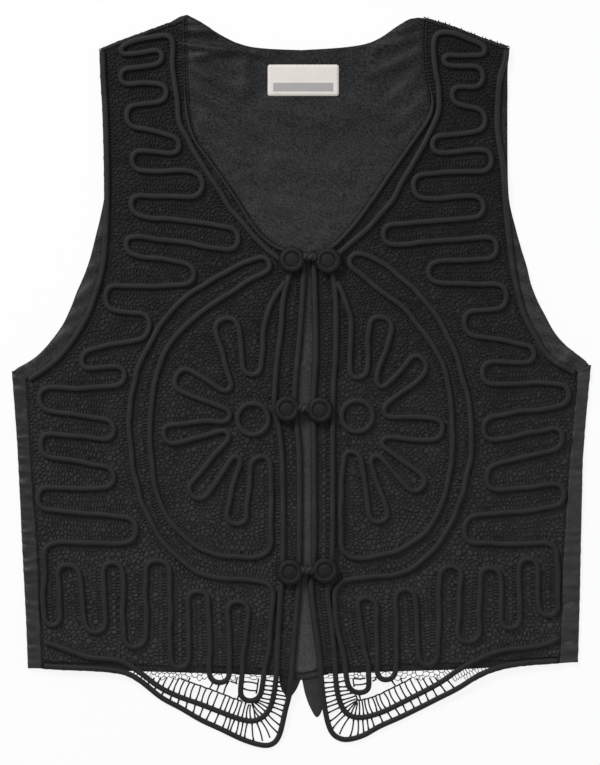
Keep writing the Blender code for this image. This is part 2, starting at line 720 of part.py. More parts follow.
def build_link(place, material, home):
    """The wrapped loop that joins a pair of knots."""
    (left, y_left), (right, y_right) = KNOTS[place]["left"], KNOTS[place]["right"]
    reach = math.dist((left, y_left), (right, y_right)) / 2 - KNOT_RADIUS - GAP
    waist = LINK_RADIUS * 0.8
    turns = [waist, LINK_RADIUS, waist, LINK_RADIUS, waist, LINK_RADIUS, waist]
    mesh = bmesh.new()
    points = [mesh.verts.new((-reach * MM, 0, 0))]
    for i, radius in enumerate(turns):
        points.append(mesh.verts.new((reach * (i / 3 - 1) * MM, 0, radius * MM)))
    points.append(mesh.verts.new((reach * MM, 0, 0)))
    edges = [mesh.edges.new(pair) for pair in zip(points, points[1:])]
    turned(mesh, points + edges, (1, 0, 0), 8)
    bmesh.ops.recalc_face_normals(mesh, faces=mesh.faces[:])
    made = to_object(f"link_{place}", mesh, material, home)
    x, y = (left + right) / 2, (y_left + y_right) / 2
    made.location = (x * MM, y * MM, (KNOT_Z + LINK_RADIUS + GAP + lift(x, y)) * MM)
    made.rotation_euler.z = math.atan2(y_right - y_left, right - left)


def ring_line(side):
    out, up = FLOWER[side]["centre"]
    angles = [2 * math.pi * i / 16 for i in range(16)]
    return [point(side, out + RING_RADIUS * math.cos(a), up + RING_RADIUS * math.sin(a)) for a in angles]


for old in list(bpy.data.objects):
    bpy.data.objects.remove(old)
vest = collection("vest")
helpers = collection("cutters", hidden=True)
satin = finish("satin", (0.020, 0.019, 0.020), 0.42)
cloth = finish("lining", (0.024, 0.024, 0.027), 0.5)
lace = finish("needle_lace", (0.013, 0.012, 0.013), 0.8)
cord = finish("cord", (0.022, 0.021, 0.023), 0.6)
rope = finish("knot", (0.016, 0.016, 0.017), 0.6)
woven = finish("label", (0.72, 0.68, 0.64), 0.7)

build_back(satin, vest)
build_lining(cloth, vest)
build_label(woven, vest)
section = cord_section(helpers)
for side in ("left", "right"):
    build_tie(side, satin, vest)
    build_front(side, lace, vest, helpers)
    build_cord(f"lace_cord_{side}", lace_route(side), section, cord, vest)
    build_cord(f"ring_{side}", ring_line(side), section, cord, vest, closed=True)
    build_cord(f"inner_cord_{side}", side_curve(INNER_CORD[side], side), section, cord, vest)
    build_cord(f"edge_cord_{side}", edge_route(side, ("neck", "placket")), section, cord, vest)
    build_cord(f"armhole_cord_{side}", edge_route(side, ("armhole",)), section, cord, vest)
    for place in KNOTS:
        build_knot(place, side, rope, vest)
for place in KNOTS:
    build_link(place, rope, vest)
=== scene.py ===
"""The looks of a lace-front vest, laid flat on its back: satin, lining, label, needle lace, cords and knots.

Each section makes one piece of the garment, or a group of like pieces, from the surface up, round the
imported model. X runs across the vest, Y up to the neck and Z up. Tables are in millimetres.
"""

import math
import random

import bmesh
import bpy
from mathutils import Matrix, Vector, bvhtree, geometry, kdtree, noise


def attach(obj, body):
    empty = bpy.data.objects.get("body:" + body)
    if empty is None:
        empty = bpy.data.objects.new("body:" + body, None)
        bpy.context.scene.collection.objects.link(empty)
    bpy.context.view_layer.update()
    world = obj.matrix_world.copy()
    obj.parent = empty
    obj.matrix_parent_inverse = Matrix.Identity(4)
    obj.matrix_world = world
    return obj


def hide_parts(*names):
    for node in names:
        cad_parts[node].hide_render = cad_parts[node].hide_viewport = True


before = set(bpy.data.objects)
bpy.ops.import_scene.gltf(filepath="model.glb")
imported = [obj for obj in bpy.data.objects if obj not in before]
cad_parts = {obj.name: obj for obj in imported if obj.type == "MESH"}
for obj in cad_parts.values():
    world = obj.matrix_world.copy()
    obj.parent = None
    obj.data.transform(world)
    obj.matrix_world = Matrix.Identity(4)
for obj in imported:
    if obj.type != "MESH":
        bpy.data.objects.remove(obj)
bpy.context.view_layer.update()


# The back is one panel of black satin, cut from the shoulders to a straight hem. Below the armholes its
# sides turn over to the front, where the side seams join them to the lace and draw them into puckers.

MM = 0.001
CLOTH = 0.8
PITCH = 4.0
HEM_ZONE = -200.0

# A side's fold goes round a small radius, from under the back to its front, and runs on flat to the seam
FOLD_RADIUS = 1.8
FOLD_ANGLES = range(-67, 91, 22)
STRIP_STEPS = 6
SEAM_TUCK = 0.15
UNDERARM_DIP = 7.0
SLACK = 0.1
PUCKER_DEPTH = 0.9
PUCKER_LENGTH = 5.5

# The tie ends under the back hold it up over the middle of the hem
LIFT = 1.5
LIFT_OUT = (20.0, 36.0)
LIFT_TOP = (-110.0, -94.0)
LIFT_LOW = (-293.0, -279.0)

# Each row is out from the centre line, then up
BACK = {
    "left": {
        "shoulder": [(167, 275), (152, 281.6), (131.5, 288), (115, 294.7), (101, 302.7), (95, 304.3)],
        "neck": [(95, 304.3), (84, 298.5), (67.5, 288), (51, 280), (33, 276.5), (0, 275)],
        "armhole": [
            (240.3, 8.7), (221, 20), (207, 34.5), (196, 51), (185.5, 76), (177, 97), (171.5, 117.5),
            (166.5, 138), (163, 159), (163, 192), (164.5, 230), (167, 275),
        ],
        "side": [(227, -237.8), (228.5, -198), (232, -132), (233.5, -98), (236, -49), (240.3, 8.7)],
        "hem": [(0, -247.5), (22, -244), (117, -241), (167, -239.5), (227, -237.8)],
    },
    "right": {
        "shoulder": [(172.3, 276.5), (156, 282), (141, 287.6), (124, 293.8), (106, 300.4), (97, 302)],
        "neck": [(97, 302), (90, 301), (77.5, 293.5), (65, 285), (52.5, 280), (32, 277), (0, 275)],
        "armhole": [
            (240.3, 13.7), (231, 21), (221, 28.5), (210.5, 40), (202, 55), (192, 76), (186.5, 97),
            (181.5, 113), (177, 130), (173, 146.5), (171.5, 163), (171, 192), (171, 254), (172.3, 276.5),
        ],
        "side": [(229.5, -232.8), (231, -181), (232, -132), (233.5, -65), (236, -32), (240.3, 13.7)],
        "hem": [(0, -247.5), (22, -242.5), (115, -239.5), (165, -237), (229.5, -232.8)],
    },
}
SEAM = {
    "left": [(215, -238), (218.3, -148), (224.5, -65), (227, -15), (228.5, 3)],
    "right": [(213.3, -233.5), (216.8, -148), (220, -98), (224, -49), (227, -15), (228.5, 8.5)],
}

# The cloth's uneven lie, as waves of a height, a length across and up, and a seed
LIE = [(0.8, 34, 26, 4.0), (0.45, 11, 8, 9.0)]
LIE_LEVEL = 0.5
CREASE_RUN = (-0.2, 1.2)
BACK_RELIEF = 0.5
BACK_FLAT = (-246.0, -236.0)

# Creases of the cloth: from X and Y to X and Y, width and height, which is negative in a trough. They
# lie round the armholes, where the lining shows, and fan out from the shoulders under the neck. Each runs
# out a little past its ends.
CREASES = [
    (-97, 299, -78, 295, 2.4, 2.6), (-96, 291, -66, 291, 2.4, 4.0), (-96, 285, -72, 281, 2.0, -2.8),
    (-96, 279, -60, 275, 2.4, 4.2), (-94, 268, -50, 276, 3.0, 3.0), (-92, 262, -66, 246, 3.6, 2.4),
    (-92, 246, -44, 208, 5, 2.0), (-84, 222, -52, 196, 5, 1.6), (-36, 266, -30, 240, 5, -2.4),
    (-48, 262, -44, 238, 5, 1.8), (-52, 274, -24, 270, 3.4, 1.6), (98, 297, 80, 290, 2.6, 1.8),
    (98, 286, 62, 277, 3, 2.0), (98, 272, 58, 254, 4, 1.6), (99, 254, 70, 230, 5, 1.4),
    (104, 236, 76, 208, 5, 1.4), (-34, 226, 34, 214, 8, 1.6), (-28, 186, 34, 170, 9, 1.4),
    (40, 236, 80, 216, 6, 1.4), (-70, 200, -30, 170, 7, 1.2), (-40, 150, 10, 140, 8, 1.2),
    (-165, 122, -183, 108, 3, 1.8), (-170, 96, -188, 86, 3, 2.2), (-174, 80, -194, 62, 3.2, 2.4),
    (-184, 58, -202, 48, 3.2, 2.2), (-192, 42, -214, 28, 3.6, 2.6), (-206, 30, -224, 16, 3.2, 2.2),
    (-242, 12, -231, 12, 4, 3.6), (174, 116, 188, 104, 3.2, 1.8), (179, 94, 197, 82, 3.2, 2.4),
    (183, 76, 203, 62, 3.6, 2.6), (189, 58, 211, 44, 3.6, 2.6), (198, 44, 222, 32, 3.6, 2.8),
    (206, 30, 224, 24, 3.2, 1.8), (216, 13, 229, 28, 5, 3.6), (166, 252, 171, 226, 3, 1.4),
]


def point(side, out, up):
    """A place on the vest from its distance out and up, in metres."""
    return Vector((out if side == "right" else -out, up)) * MM


def ramp(value, low, high):
    """0 at low and 1 at high, straight between."""
    return min(1.0, max(0.0, (value - low) / (high - low)))


def soft(value):
    """Eases a share from 0 to 1."""
    return value * value * (3 - 2 * value)


def lift(x, y):
    """How far the ties below hold the cloth up, at a place in millimetres."""
    across = 1 - ramp(abs(x), *LIFT_OUT)
    return LIFT * across * (1 - ramp(y, *LIFT_TOP)) * ramp(y, *LIFT_LOW)


def waves(x, y, rows):
    """Uneven waves of cloth, each of a height, its lengths across and up, and a seed."""
    return sum(height * noise.noise(Vector((x / wide, y / tall, seed))) for height, wide, tall, seed in rows)


def relief(x, y):
    """How far the cloth rises for its creases and for its slightly uneven lie."""
    rise = waves(x, y, LIE)
    for from_x, from_y, to_x, to_y, width, height in CREASES:
        along_x, along_y = to_x - from_x, to_y - from_y
        t = ((x - from_x) * along_x + (y - from_y) * along_y) / (along_x**2 + along_y**2)
        if CREASE_RUN[0] < t < CREASE_RUN[1]:
            off = math.hypot(x - from_x - along_x * t, y - from_y - along_y * t)
            rise += height * math.exp(-((off / width) ** 2)) * math.sin(math.pi * ramp(t, *CREASE_RUN))
    return max(0.0, rise + LIE_LEVEL)


def smooth(points, step):
    """Points about one step apart on a soft curve through the given ones."""
    ends = [2 * points[0] - points[1], *points, 2 * points[-1] - points[-2]]
    curve = []
    for before, start, end, after in zip(ends, ends[1:], ends[2:], ends[3:]):
        count = max(1, round((end - start).length / step))
        for i in range(count):
            t = i / count
            curve.append(
                start
                + (end - before) * (t / 2)
                + (2 * before - 5 * start + 4 * end - after) * (t * t / 2)
                + (3 * start - before - 3 * end + after) * (t**3 / 2)
            )
    return curve + [points[-1]]


def inset(points, distance):
    """The same line moved to its left by the distance, with its corners kept."""
    ways = [(after - here).normalized() for here, after in zip(points, points[1:])]
    moved = []
    for here, behind, ahead in zip(points, ways[:1] + ways, ways + ways[-1:]):
        along = (ahead + behind).normalized()
        corner = max(along.dot(ahead), 0.5)
        moved.append(here + Vector((-along.y, along.x)) * (distance / corner))
    return moved


def side_curve(rows, side, step=5.0):
    """A soft curve through rows of out and up."""
    return smooth([point(side, *row) for row in rows], step * MM)


def side_out(rows, up):
    """How far out a side edge is at a height."""
    for (out_a, up_a), (out_b, up_b) in zip(rows, rows[1:]):
        if up <= up_b or (out_b, up_b) == rows[-1]:
            return out_a + (out_b - out_a) * (up - up_a) / (up_b - up_a)


def back_outline(fold, edge, hem_rise):
    """The back's outline, with its sides moved in by fold, the other edges by edge, and the hem raised."""
    halves = {}
    for side, edges in BACK.items():
        half = side_curve(edges["neck"], side)[::-1]
        half += side_curve(edges["shoulder"], side)[::-1][1:]
        half += side_curve(edges["armhole"], side)[::-1][1:-1]
        half += [point(side, out - fold, up) for out, up in edges["side"][::-1]]
        half += side_curve(edges["hem"], side, 30.0)[::-1][1:]
        halves[side] = half
    loop = halves["left"][:-1] + halves["right"][::-1][:-1]
    if edge:
        loop = inset(loop + loop[:1], edge * MM)[:-1]
    return [p + Vector((0, hem_rise * MM if p.y < HEM_ZONE * MM else 0)) for p in loop]


def panel(outline, pitch):
    """A flat piece of cloth, cut out along its outline and divided into squares of about one pitch."""
    cloth = bmesh.new()
    cloth.faces.new([cloth.verts.new((p.x, p.y, 0)) for p in outline])
    for axis in (Vector((0, 1, 0)), Vector((1, 0, 0))):
        places = [vert.co.dot(axis) for vert in cloth.verts]
        low, high = min(places), max(places)
        count = round((high - low) / (pitch * MM))
        for i in range(1, count):
            parts = cloth.verts[:] + cloth.edges[:] + cloth.faces[:]
            place = axis * (low + (high - low) * i / count)
            bmesh.ops.bisect_plane(cloth, geom=parts, dist=1e-6, plane_co=place, plane_no=axis)
    return cloth


def laid(cloth, height, way=1):
    """Lays a panel at the height of each place, with its outer face up, or down for -1."""
    for vert in cloth.verts:
        vert.co.z = height(vert.co.x / MM, vert.co.y / MM) * MM
    for face in cloth.faces:
        face.normal_update()
        if face.normal.z * way < 0:
            face.normal_flip()
    return cloth


def puckered(side, up, across):
    """The height of the small puckers across a side, uneven in their spacing and depth, in millimetres."""
    seed = 3.0 if side == "left" else 11.0
    wave = noise.noise(Vector((across * 0.7, up / PUCKER_LENGTH, seed)))
    fine = noise.noise(Vector((across * 1.5, up / (PUCKER_LENGTH * 0.45), seed + 5)))
    return PUCKER_DEPTH * (1.3 * wave + 0.5 * fine)


def back_height(x, y):
    return lift(x, y) + BACK_RELIEF * relief(x, y) * ramp(y, *BACK_FLAT)


def satin_back():
    """The satin shell, with its sides folded over to the front as far as the side seams."""
    cloth = laid(panel(back_outline(FOLD_RADIUS, 0, 0), PITCH), back_height, -1)
    for side, edges in BACK.items():
        sign = 1 if side == "right" else -1
        top = edges["side"][-1][1]

        def on_side(vert):
            out, up = vert.co.x * sign / MM, vert.co.y / MM
            return out > side_out(edges["side"], up) - FOLD_RADIUS - SLACK and up < top + SLACK

        rim = [edge for edge in cloth.edges if edge.is_boundary and all(map(on_side, edge.verts))]
        bmesh.ops.subdivide_edges(cloth, edges=rim, cuts=2)
        rim = [edge for edge in cloth.edges if edge.is_boundary and all(map(on_side, edge.verts))]
        bend = [(math.radians(angle), 0) for angle in FOLD_ANGLES]
        strip = [(math.pi / 2, i / STRIP_STEPS) for i in range(1, STRIP_STEPS + 1)]
        for angle, share in bend + strip:
            made = bmesh.ops.extrude_edge_only(cloth, edges=rim)["geom"]
            for vert in [part for part in made if isinstance(part, bmesh.types.BMVert)]:
                up = vert.co.y / MM
                fold = side_out(edges["side"], up) - FOLD_RADIUS
                seam = side_out(SEAM[side], up) + SEAM_TUCK
                pucker = puckered(side, up, share) * soft(ramp(angle, -1.2, 1.2)) * (1 - 0.4 * share)
                reach = (FOLD_RADIUS + 0.4 * pucker) * math.cos(angle)
                vert.co.x = sign * (fold + (seam - fold) * share + reach) * MM
                vert.co.z = (FOLD_RADIUS * (1 + math.sin(angle)) + pucker) * MM
                if share and up > top - UNDERARM_DIP * (share + 0.2):
                    vert.co.y -= UNDERARM_DIP * MM / STRIP_STEPS
            rim = [part for part in made if isinstance(part, bmesh.types.BMEdge)]
    bmesh.ops.recalc_face_normals(cloth, faces=cloth.faces[:])
    lowest = min(cloth.faces, key=lambda face: face.calc_center_median().z - abs(face.normal.z))
    if lowest.normal.z > 0:
        bmesh.ops.reverse_faces(cloth, faces=cloth.faces[:])
    return cloth


def as_data(name, mesh):
    """A bmesh as mesh data, with smooth faces."""
    data = bpy.data.meshes.new(name)
    mesh.to_mesh(data)
    mesh.free()
    data.shade_smooth()
    return data


def piece(name, data, material, slot, *nodes):
    """A finished piece of the vest, in one of its materials. It stands for the model's nodes."""
    made = bpy.data.objects.new(name, data)
    data.materials.clear()
    data.materials.append(material)
    bpy.context.scene.collection.objects.link(made)
    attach(made, "root")
    if nodes:
        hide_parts(*nodes)
    return made


def thicken(made, thickness, offset):
    """Gives cloth its thickness, above it for 1 and below it for -1."""
    wall = made.modifiers.new("thickness", "SOLIDIFY")
    wall.thickness = thickness * MM
    wall.offset = offset


class Value:
    """An output of a node, on which arithmetic adds Math nodes."""

    def __init__(self, nodes, socket):
        self.nodes = nodes
        self.socket = socket

    def math(self, operation, *values):
        return self.nodes.node("ShaderNodeMath", dict(enumerate(values)), operation=operation)

    def __add__(self, other):
        return self.math("ADD", self, other)

    def __sub__(self, other):
        return self.math("SUBTRACT", self, other)

    def __rsub__(self, other):
        return self.math("SUBTRACT", other, self)

    def __mul__(self, other):
        return self.math("MULTIPLY", self, other)

    __radd__ = __add__
    __rmul__ = __mul__


class Nodes:
    """A tree of nodes, filled one at a time."""

    def __init__(self, tree):
        self.tree = tree

    def node(self, kind, sockets=None, output=0, stops=(), **settings):
        """A new node, set and joined up, as the value of one of its outputs."""
        made = self.tree.nodes.new(kind)
        for name, value in settings.items():
            setattr(made, name, value)
        for i, (position, colour) in enumerate(stops):
            stop = made.color_ramp.elements[i] if i < 2 else made.color_ramp.elements.new(position)
            stop.position = position
            stop.color = colour
        for name, value in (sockets or {}).items():
            self.join(made.inputs[name], value)
        return Value(self, made.outputs[output])

    def join(self, socket, value):
        if isinstance(value, Value):
            self.tree.links.new(value.socket, socket)
        else:
            socket.default_value = value


class Finish(Nodes):
    """One material of the vest."""

    def __init__(self, name, sockets):
        self.material = bpy.data.materials.new(name)
        self.material.use_nodes = True
        super().__init__(self.material.node_tree)
        self.shader = self.tree.nodes["Principled BSDF"]
        for socket, value in sockets.items():
            self.join(self.shader.inputs[socket], value)
        self.place = self.node("ShaderNodeTexCoord", output="Object")

    def along(self, axis):
        """The place on the vest along X, Y or Z, in metres."""
        return self.node("ShaderNodeSeparateXYZ", {"Vector": self.place}, axis)

    def trait(self, name):
        """What the mesh says about each of its corners."""
        return self.node("ShaderNodeAttribute", output="Fac", attribute_name=name)

    def grain(self, scale, stretch=(1, 1, 1), detail=2.0, roughness=0.5):
        """Noise from 0 to 1, with about one grain in 1 / scale metres where its stretch is 1."""
        place = self.node("ShaderNodeMapping", {"Vector": self.place, "Scale": stretch})
        values = {"Vector": place, "Scale": scale, "Detail": detail, "Roughness": roughness}
        return self.node("ShaderNodeTexNoise", values)

    def tint(self, share, *stops):
        """The colour, by a share, between stops that are each a position and a colour."""
        stops = [(position, (*colour, 1)) for position, colour in stops]
        colour = self.node("ShaderNodeValToRGB", {"Fac": share}, stops=stops)
        self.join(self.shader.inputs["Base Color"], colour)

    def roughen(self, rough):
        self.join(self.shader.inputs["Roughness"], rough)

    def emboss(self, height, depth, strength=1.0):
        """Raises the surface by a height from 0 to 1, to a depth in millimetres."""
        values = {"Height": height, "Distance": depth * MM, "Strength": strength}
        self.join(self.shader.inputs["Normal"], self.node("ShaderNodeBump", values))


def satin():
    """Black satin: fine floats along X that catch the light, on a slightly uneven ground. Painted shade
    makes it darker up its left side.
    """
    finish = Finish("black_satin", {"Specular IOR Level": 0.3})
    floats = finish.grain(2600, (0.12, 1, 1), 1.0)
    slub = finish.grain(160, (0.5, 1, 1), 3.0)
    # Painted shade: the satin gets darker towards its upper left, most of all up its left side, and none at
    # the hem.
    painted_shade_left = (finish.along("X") - 0.23) * (finish.along("Y") + 0.24)
    tone = slub * 0.6 + floats * 0.4 + painted_shade_left * 2.6
    finish.tint(tone, (0.3, (0.0145, 0.014, 0.0145)), (0.75, (0.037, 0.036, 0.038)))
    finish.roughen(slub * 0.16 + 0.36)
    finish.emboss(floats * 0.7 + slub * 0.3, 0.12, 0.6)
    return finish.material


black_satin = satin()
back = piece("satin_back", as_data("satin_back", satin_back()), black_satin, "satin", "back_shell")
thicken(back, CLOTH, -1)


# The lining is one panel of blue-black taffeta with a grainy crosswise slub, sewn to the back round the
# neck and armholes. It shows in the neck, between the fronts and outside the armholes' cords.

LINING_Z = 1.3
LINING_INSET = 0.8
LINING_HEM_RISE = 5.0
LINING_PITCH = 2.3
LACE_SHADE = 0.1


def taffeta():
    """Grainy taffeta: uneven threads across and finer ones along, with a soft sheen on its rises."""
    finish = Finish("lining_taffeta", {"Specular IOR Level": 0.22})
    across = finish.grain(900, (0.5, 1, 1), 2.0)
    along = finish.grain(900, (1, 0.6, 1), 2.0)
    cloudy = finish.grain(45, (1, 1, 1), 3.0)
    weave = across * 0.55 + along * 0.45
    # Painted shade: the lining is darker towards the neck, as if the light fell off there, and darker where
    # the lace above shades it.
    tone = weave * 0.9 + cloudy * 0.1 - finish.along("Y") * 0.65 - finish.trait("shaded") * LACE_SHADE
    finish.tint(tone, (0.26, (0.001, 0.001, 0.002)), (0.75, (0.055, 0.0547, 0.0585)))
    finish.roughen(weave * 0.25 + 0.42)
    finish.emboss(weave, 0.25, 0.7)
    return finish.material


def lining_height(x, y):
    return LINING_Z + lift(x, y) + relief(x, y)


cloth = panel(back_outline(FOLD_RADIUS + LINING_INSET, LINING_INSET, LINING_HEM_RISE), LINING_PITCH)
data = as_data("lining", laid(cloth, lining_height))
lining = piece("lining", data, taffeta(), "lining", "back_lining")
thicken(lining, CLOTH, 1)


# The label is a woven rectangle in cream with a grey band below. It is sewn on under the back neck and left
# bare. It follows the lining's creases only in part, because it is stiffer.

LABEL = {"x": (-28.0, 31.0), "y": (236.8, 262.8), "corner": 2.0}
LABEL_BAND = {"x": (0.0015, 0.025), "y": (0.2441, 0.0036)}
LABEL_Z = 2.5
LABEL_THICK = 0.5
LABEL_RELIEF = 0.4
LABEL_LIE = [(0.25, 14, 9, 2.0)]


def label_outline():
    """A rectangle with rounded corners."""
    (left, right), (low, high), clip = LABEL["x"], LABEL["y"], LABEL["corner"]
    outline = []
    for x, y, start in ((right, high, 0), (left, high, 90), (left, low, 180), (right, low, 270)):
        middle = Vector((x - clip if x == right else x + clip, y - clip if y == high else y + clip))
        for i in range(5):
            angle = math.radians(start + 22.5 * i)
            outline.append((middle + clip * Vector((math.cos(angle), math.sin(angle)))) * MM)
    return outline


def label_cloth():
    """Woven label tape in cream, with its grey band."""
    finish = Finish("woven_label", {"Roughness": 0.75, "Specular IOR Level": 0.25})
    x = finish.along("X")
    y = finish.along("Y")
    weave = finish.grain(2400, (0.35, 1, 1), 1.0) * 0.5 + finish.grain(900, (1, 1, 1), 2.0) * 0.5
    band = y.math("COMPARE", y, *LABEL_BAND["y"]) * x.math("COMPARE", x, *LABEL_BAND["x"])
    tone = band * 0.5 + weave * 0.5
    finish.tint(tone, (0.2, (0.68, 0.64, 0.60)), (0.36, (0.60, 0.56, 0.53)), (0.62, (0.34, 0.33, 0.33)))
    finish.roughen(weave * 0.2 + 0.65)
    finish.emboss(weave, 0.15, 0.6)
    return finish.material


def label_height(x, y):
    return LABEL_Z + LABEL_RELIEF * relief(x, y) + waves(x, y, LABEL_LIE)


data = as_data("bare_label", laid(panel(label_outline(), 2.5), label_height))
label = piece("bare_label", data, label_cloth(), "label", "label")
thicken(label, LABEL_THICK, 1)


# The two ties of the back are of the same satin. Their ends lie under it and show below the hem, each
# folded to a point and stitched across.

TIES = {
    "left": [
        (-0.4, -112), (-0.4, -247), (-4.5, -256), (-10, -262), (-15.5, -257.5), (-18.5, -249), (-18, -112),
    ],
    "right": [
        (0.4, -112), (0.4, -247), (3, -259), (7, -270), (12.5, -278.5), (17, -273), (18.3, -262), (18, -112),
    ],
}
TIE_TOP = 1.1
TIE_LIE = [(0.12, 9, 6, 5.0)]
STITCH_LINES = (-247.0, -266.0)
STITCH_DIP = 0.3
STITCH_WIDTH = 1.1


def tie_height(x, y):
    dip = sum(math.exp(-(((y - line) / STITCH_WIDTH) ** 2)) for line in STITCH_LINES)
    return TIE_TOP - STITCH_DIP * dip + waves(x, y, TIE_LIE)


for side, rows in TIES.items():
    tip = smooth([Vector(row) * MM for row in rows[1:-1]], 1.5 * MM)
    outline = [Vector(rows[0]) * MM, *tip, Vector(rows[-1]) * MM]
    data = as_data("tie", laid(panel(outline, 2.0), tie_height))
    tie = piece(f"tie_end_{side}", data, black_satin, "satin", f"tie_{side}")
    thicken(tie, CLOTH, -1)
    0.150 if side == "left" else 0.167


# The lace of each front is needle-made: fine threads looped into small cells in rows beside the cords,
# which carry it. At the points below the back's hem the cells are long and open.

FRONT_Z = 2.6
DROP = (-248.0, -268.0)
CORD_WIDTH = 4.4
EDGE_INSET = CORD_WIDTH / 2 + 0.2
LEAST_STEP = 0.6
RING_RADIUS = 13.3
SOFT_STEP = 1.5
SOFT_ROUNDS = 7
SWAY = 1.5
SWAY_LENGTH = 17
LACE_Z = 0.5
LACE_LIE = 0.25
THREAD_RADIUS = 0.37
THREAD_SIZE = {2: 0.75, 3: 1.35}

# Cells stand in rows beside the cords: how far apart along a row, the first row and the next ones, and how
# far apart at least, as a share. Then others fill the fields between: their pitch, how far each is off it
# as a share, and how far apart they and the cords are at least.
CELL = 2.6
BESIDE = 4.2
ROW = 4.0
ROWS = 8
CLOSE = 0.86
FILL = 2.8
UNEVEN = 0.2
FILL_APART = 2.45
FILL_CLEAR = 3.2

# How low and how long the fronts are, and the size of the squares that a cell's neighbours are found by
FRONT_LOW = -305
FRONT_LENGTH = 610.0
SQUARE = 6 * MM

# The open net hangs between the hem, the second cord and the edge. A row is where threads start, as a
# distance within the second cord, how far apart they are, how long at most, and between which distances
# from the centre line they stand. A long thread runs along at each depth. OPEN_SIZE is the radius of a
# thread in its middle and where it meets a cord, and OPEN_FLARE where on the way it thickens. OPEN_CLEAR is
# how far from a cord a thread starts, beside the second cord and deeper.
OPEN_TOP = -246.0
OPEN_ROWS = [
    (-1.8, 3.5, 17.0, 0, 60), (-1.8, 7.0, 17.0, 60, 180), (1.8, 3.9, 12.6, 0, 70), (1.8, 5.0, 12.6, 70, 180),
    (14.4, 6.2, 12.6, 0, 180), (27.0, 6.2, 12.6, 0, 180),
]
OPEN_LINES = [14.4, 27.0]
OPEN_SIZE = (0.7, 1.05)
OPEN_FLARE = (1.8, 4.2)
OPEN_STEP = 0.9
OPEN_APART = 1.4
OPEN_CLEAR = (1.4, 3.0)
OPEN_MEET = 1.5
OPEN_FOLD = 0.6
OPEN_SWAY = 0.9
OPEN_WAVE = 0.5

# The fronts' outer edges, as rows of out and up. The placket runs on round the point into the hem.
FRONT = {
    "left": {
        "neck": [
            (95.5, 302.5), (95, 267), (94, 234), (91.5, 215), (86, 200), (78.5, 190), (71, 179.5),
            (61, 165.5), (51, 150.5), (40, 133), (30, 121), (19, 113), (7, 109.5), (-4.5, 108),
        ],
        "placket": [
            (-4.5, 108), (-4.5, 99), (-3, 68), (-0.5, 34), (2, 9), (3.5, -15), (2, -32), (-0.5, -65),
            (-0.5, -148), (1, -181), (4.5, -223), (7, -256), (11, -273), (15, -291), (19, -300),
            (26, -304.3), (36, -303.5), (51, -298.5), (67.5, -290.5), (84, -283), (101, -273), (117.5, -264),
            (134, -250.5), (146.5, -243.5), (167, -240.5), (200, -239), (215, -238),
        ],
        "armhole": [
            (228.5, 3), (215.7, 11.4), (203.6, 21), (192.6, 34.4), (183.2, 49.4), (176.3, 64.4), (167, 97),
            (164, 138), (163.5, 159), (164, 192), (165, 225), (166.5, 250), (167.5, 275.5),
        ],
        "shoulder": [(167.5, 275.5), (152, 282), (131.5, 289.5), (115, 295.5), (95.5, 302.5)],
    },
    "right": {
        "neck": [
            (101.5, 302), (100.5, 285), (101.2, 262), (103, 250), (105.5, 238), (106.5, 230), (104, 221),
            (99.5, 213), (93, 204), (86, 194), (77.5, 182), (69, 170), (61, 158), (52.5, 146), (44.5, 135),
            (34.5, 123.5), (26, 115), (17, 110), (8.5, 108),
        ],
        "placket": [
            (8.5, 108), (8, 99), (8.7, 68), (9.5, 26), (7.5, -15), (8, -65), (8, -148), (5.5, -169),
            (8.5, -198), (12, -223), (15, -256), (17.5, -274), (20, -285), (24, -294), (32, -299),
            (40, -299.3), (53, -295.5), (65, -288.5), (82, -281), (98.5, -273), (115, -264.5), (131.5, -256),
            (148, -245.5), (165, -239), (181.5, -236), (198, -234.5), (214.5, -233.5),
        ],
        "armhole": [
            (228.5, 8.5), (218.5, 14.4), (209.2, 19.7), (202, 27.5), (195.9, 38.4), (189.1, 50.6),
            (184.3, 62.9), (178.8, 86), (174.7, 113.5), (171.4, 146.5), (169.2, 178), (165.2, 203),
            (164.4, 217), (165.7, 244.7), (167.8, 256), (171, 265), (172.5, 277.5),
        ],
        "shoulder": [(172.5, 277.5), (156, 283), (141, 288.5), (124, 295), (101.5, 302)],
    },
}

# The half flower. A petal row is its direction in degrees from straight out, its reach from the
# flower's centre and its width. An inner row is the turn before each petal, and the last one after.
FLOWER = {
    "left": {
        "centre": (40.3, -31),
        "petals": [(74, 87, 21), (29.5, 73, 20), (-10.5, 76, 19), (-52, 81, 19), (-80, 88, 18)],
        "inner": [(89, 36.5, 15), (51, 31, 8), (8, 19.5, 8), (-30.5, 22.5, 8), (-67, 33, 8), (-101, 31, 16)],
    },
    "right": {
        "centre": (46, -28.5),
        "petals": [(76, 85, 20), (40, 73, 20), (-9.5, 72, 20), (-47.5, 80, 19), (-78, 90, 18)],
        "inner": [(90, 31.5, 14), (53, 30, 8), (9, 22, 8), (-44, 29, 8), (-68, 36, 8), (-97, 29, 14)],
    },
}

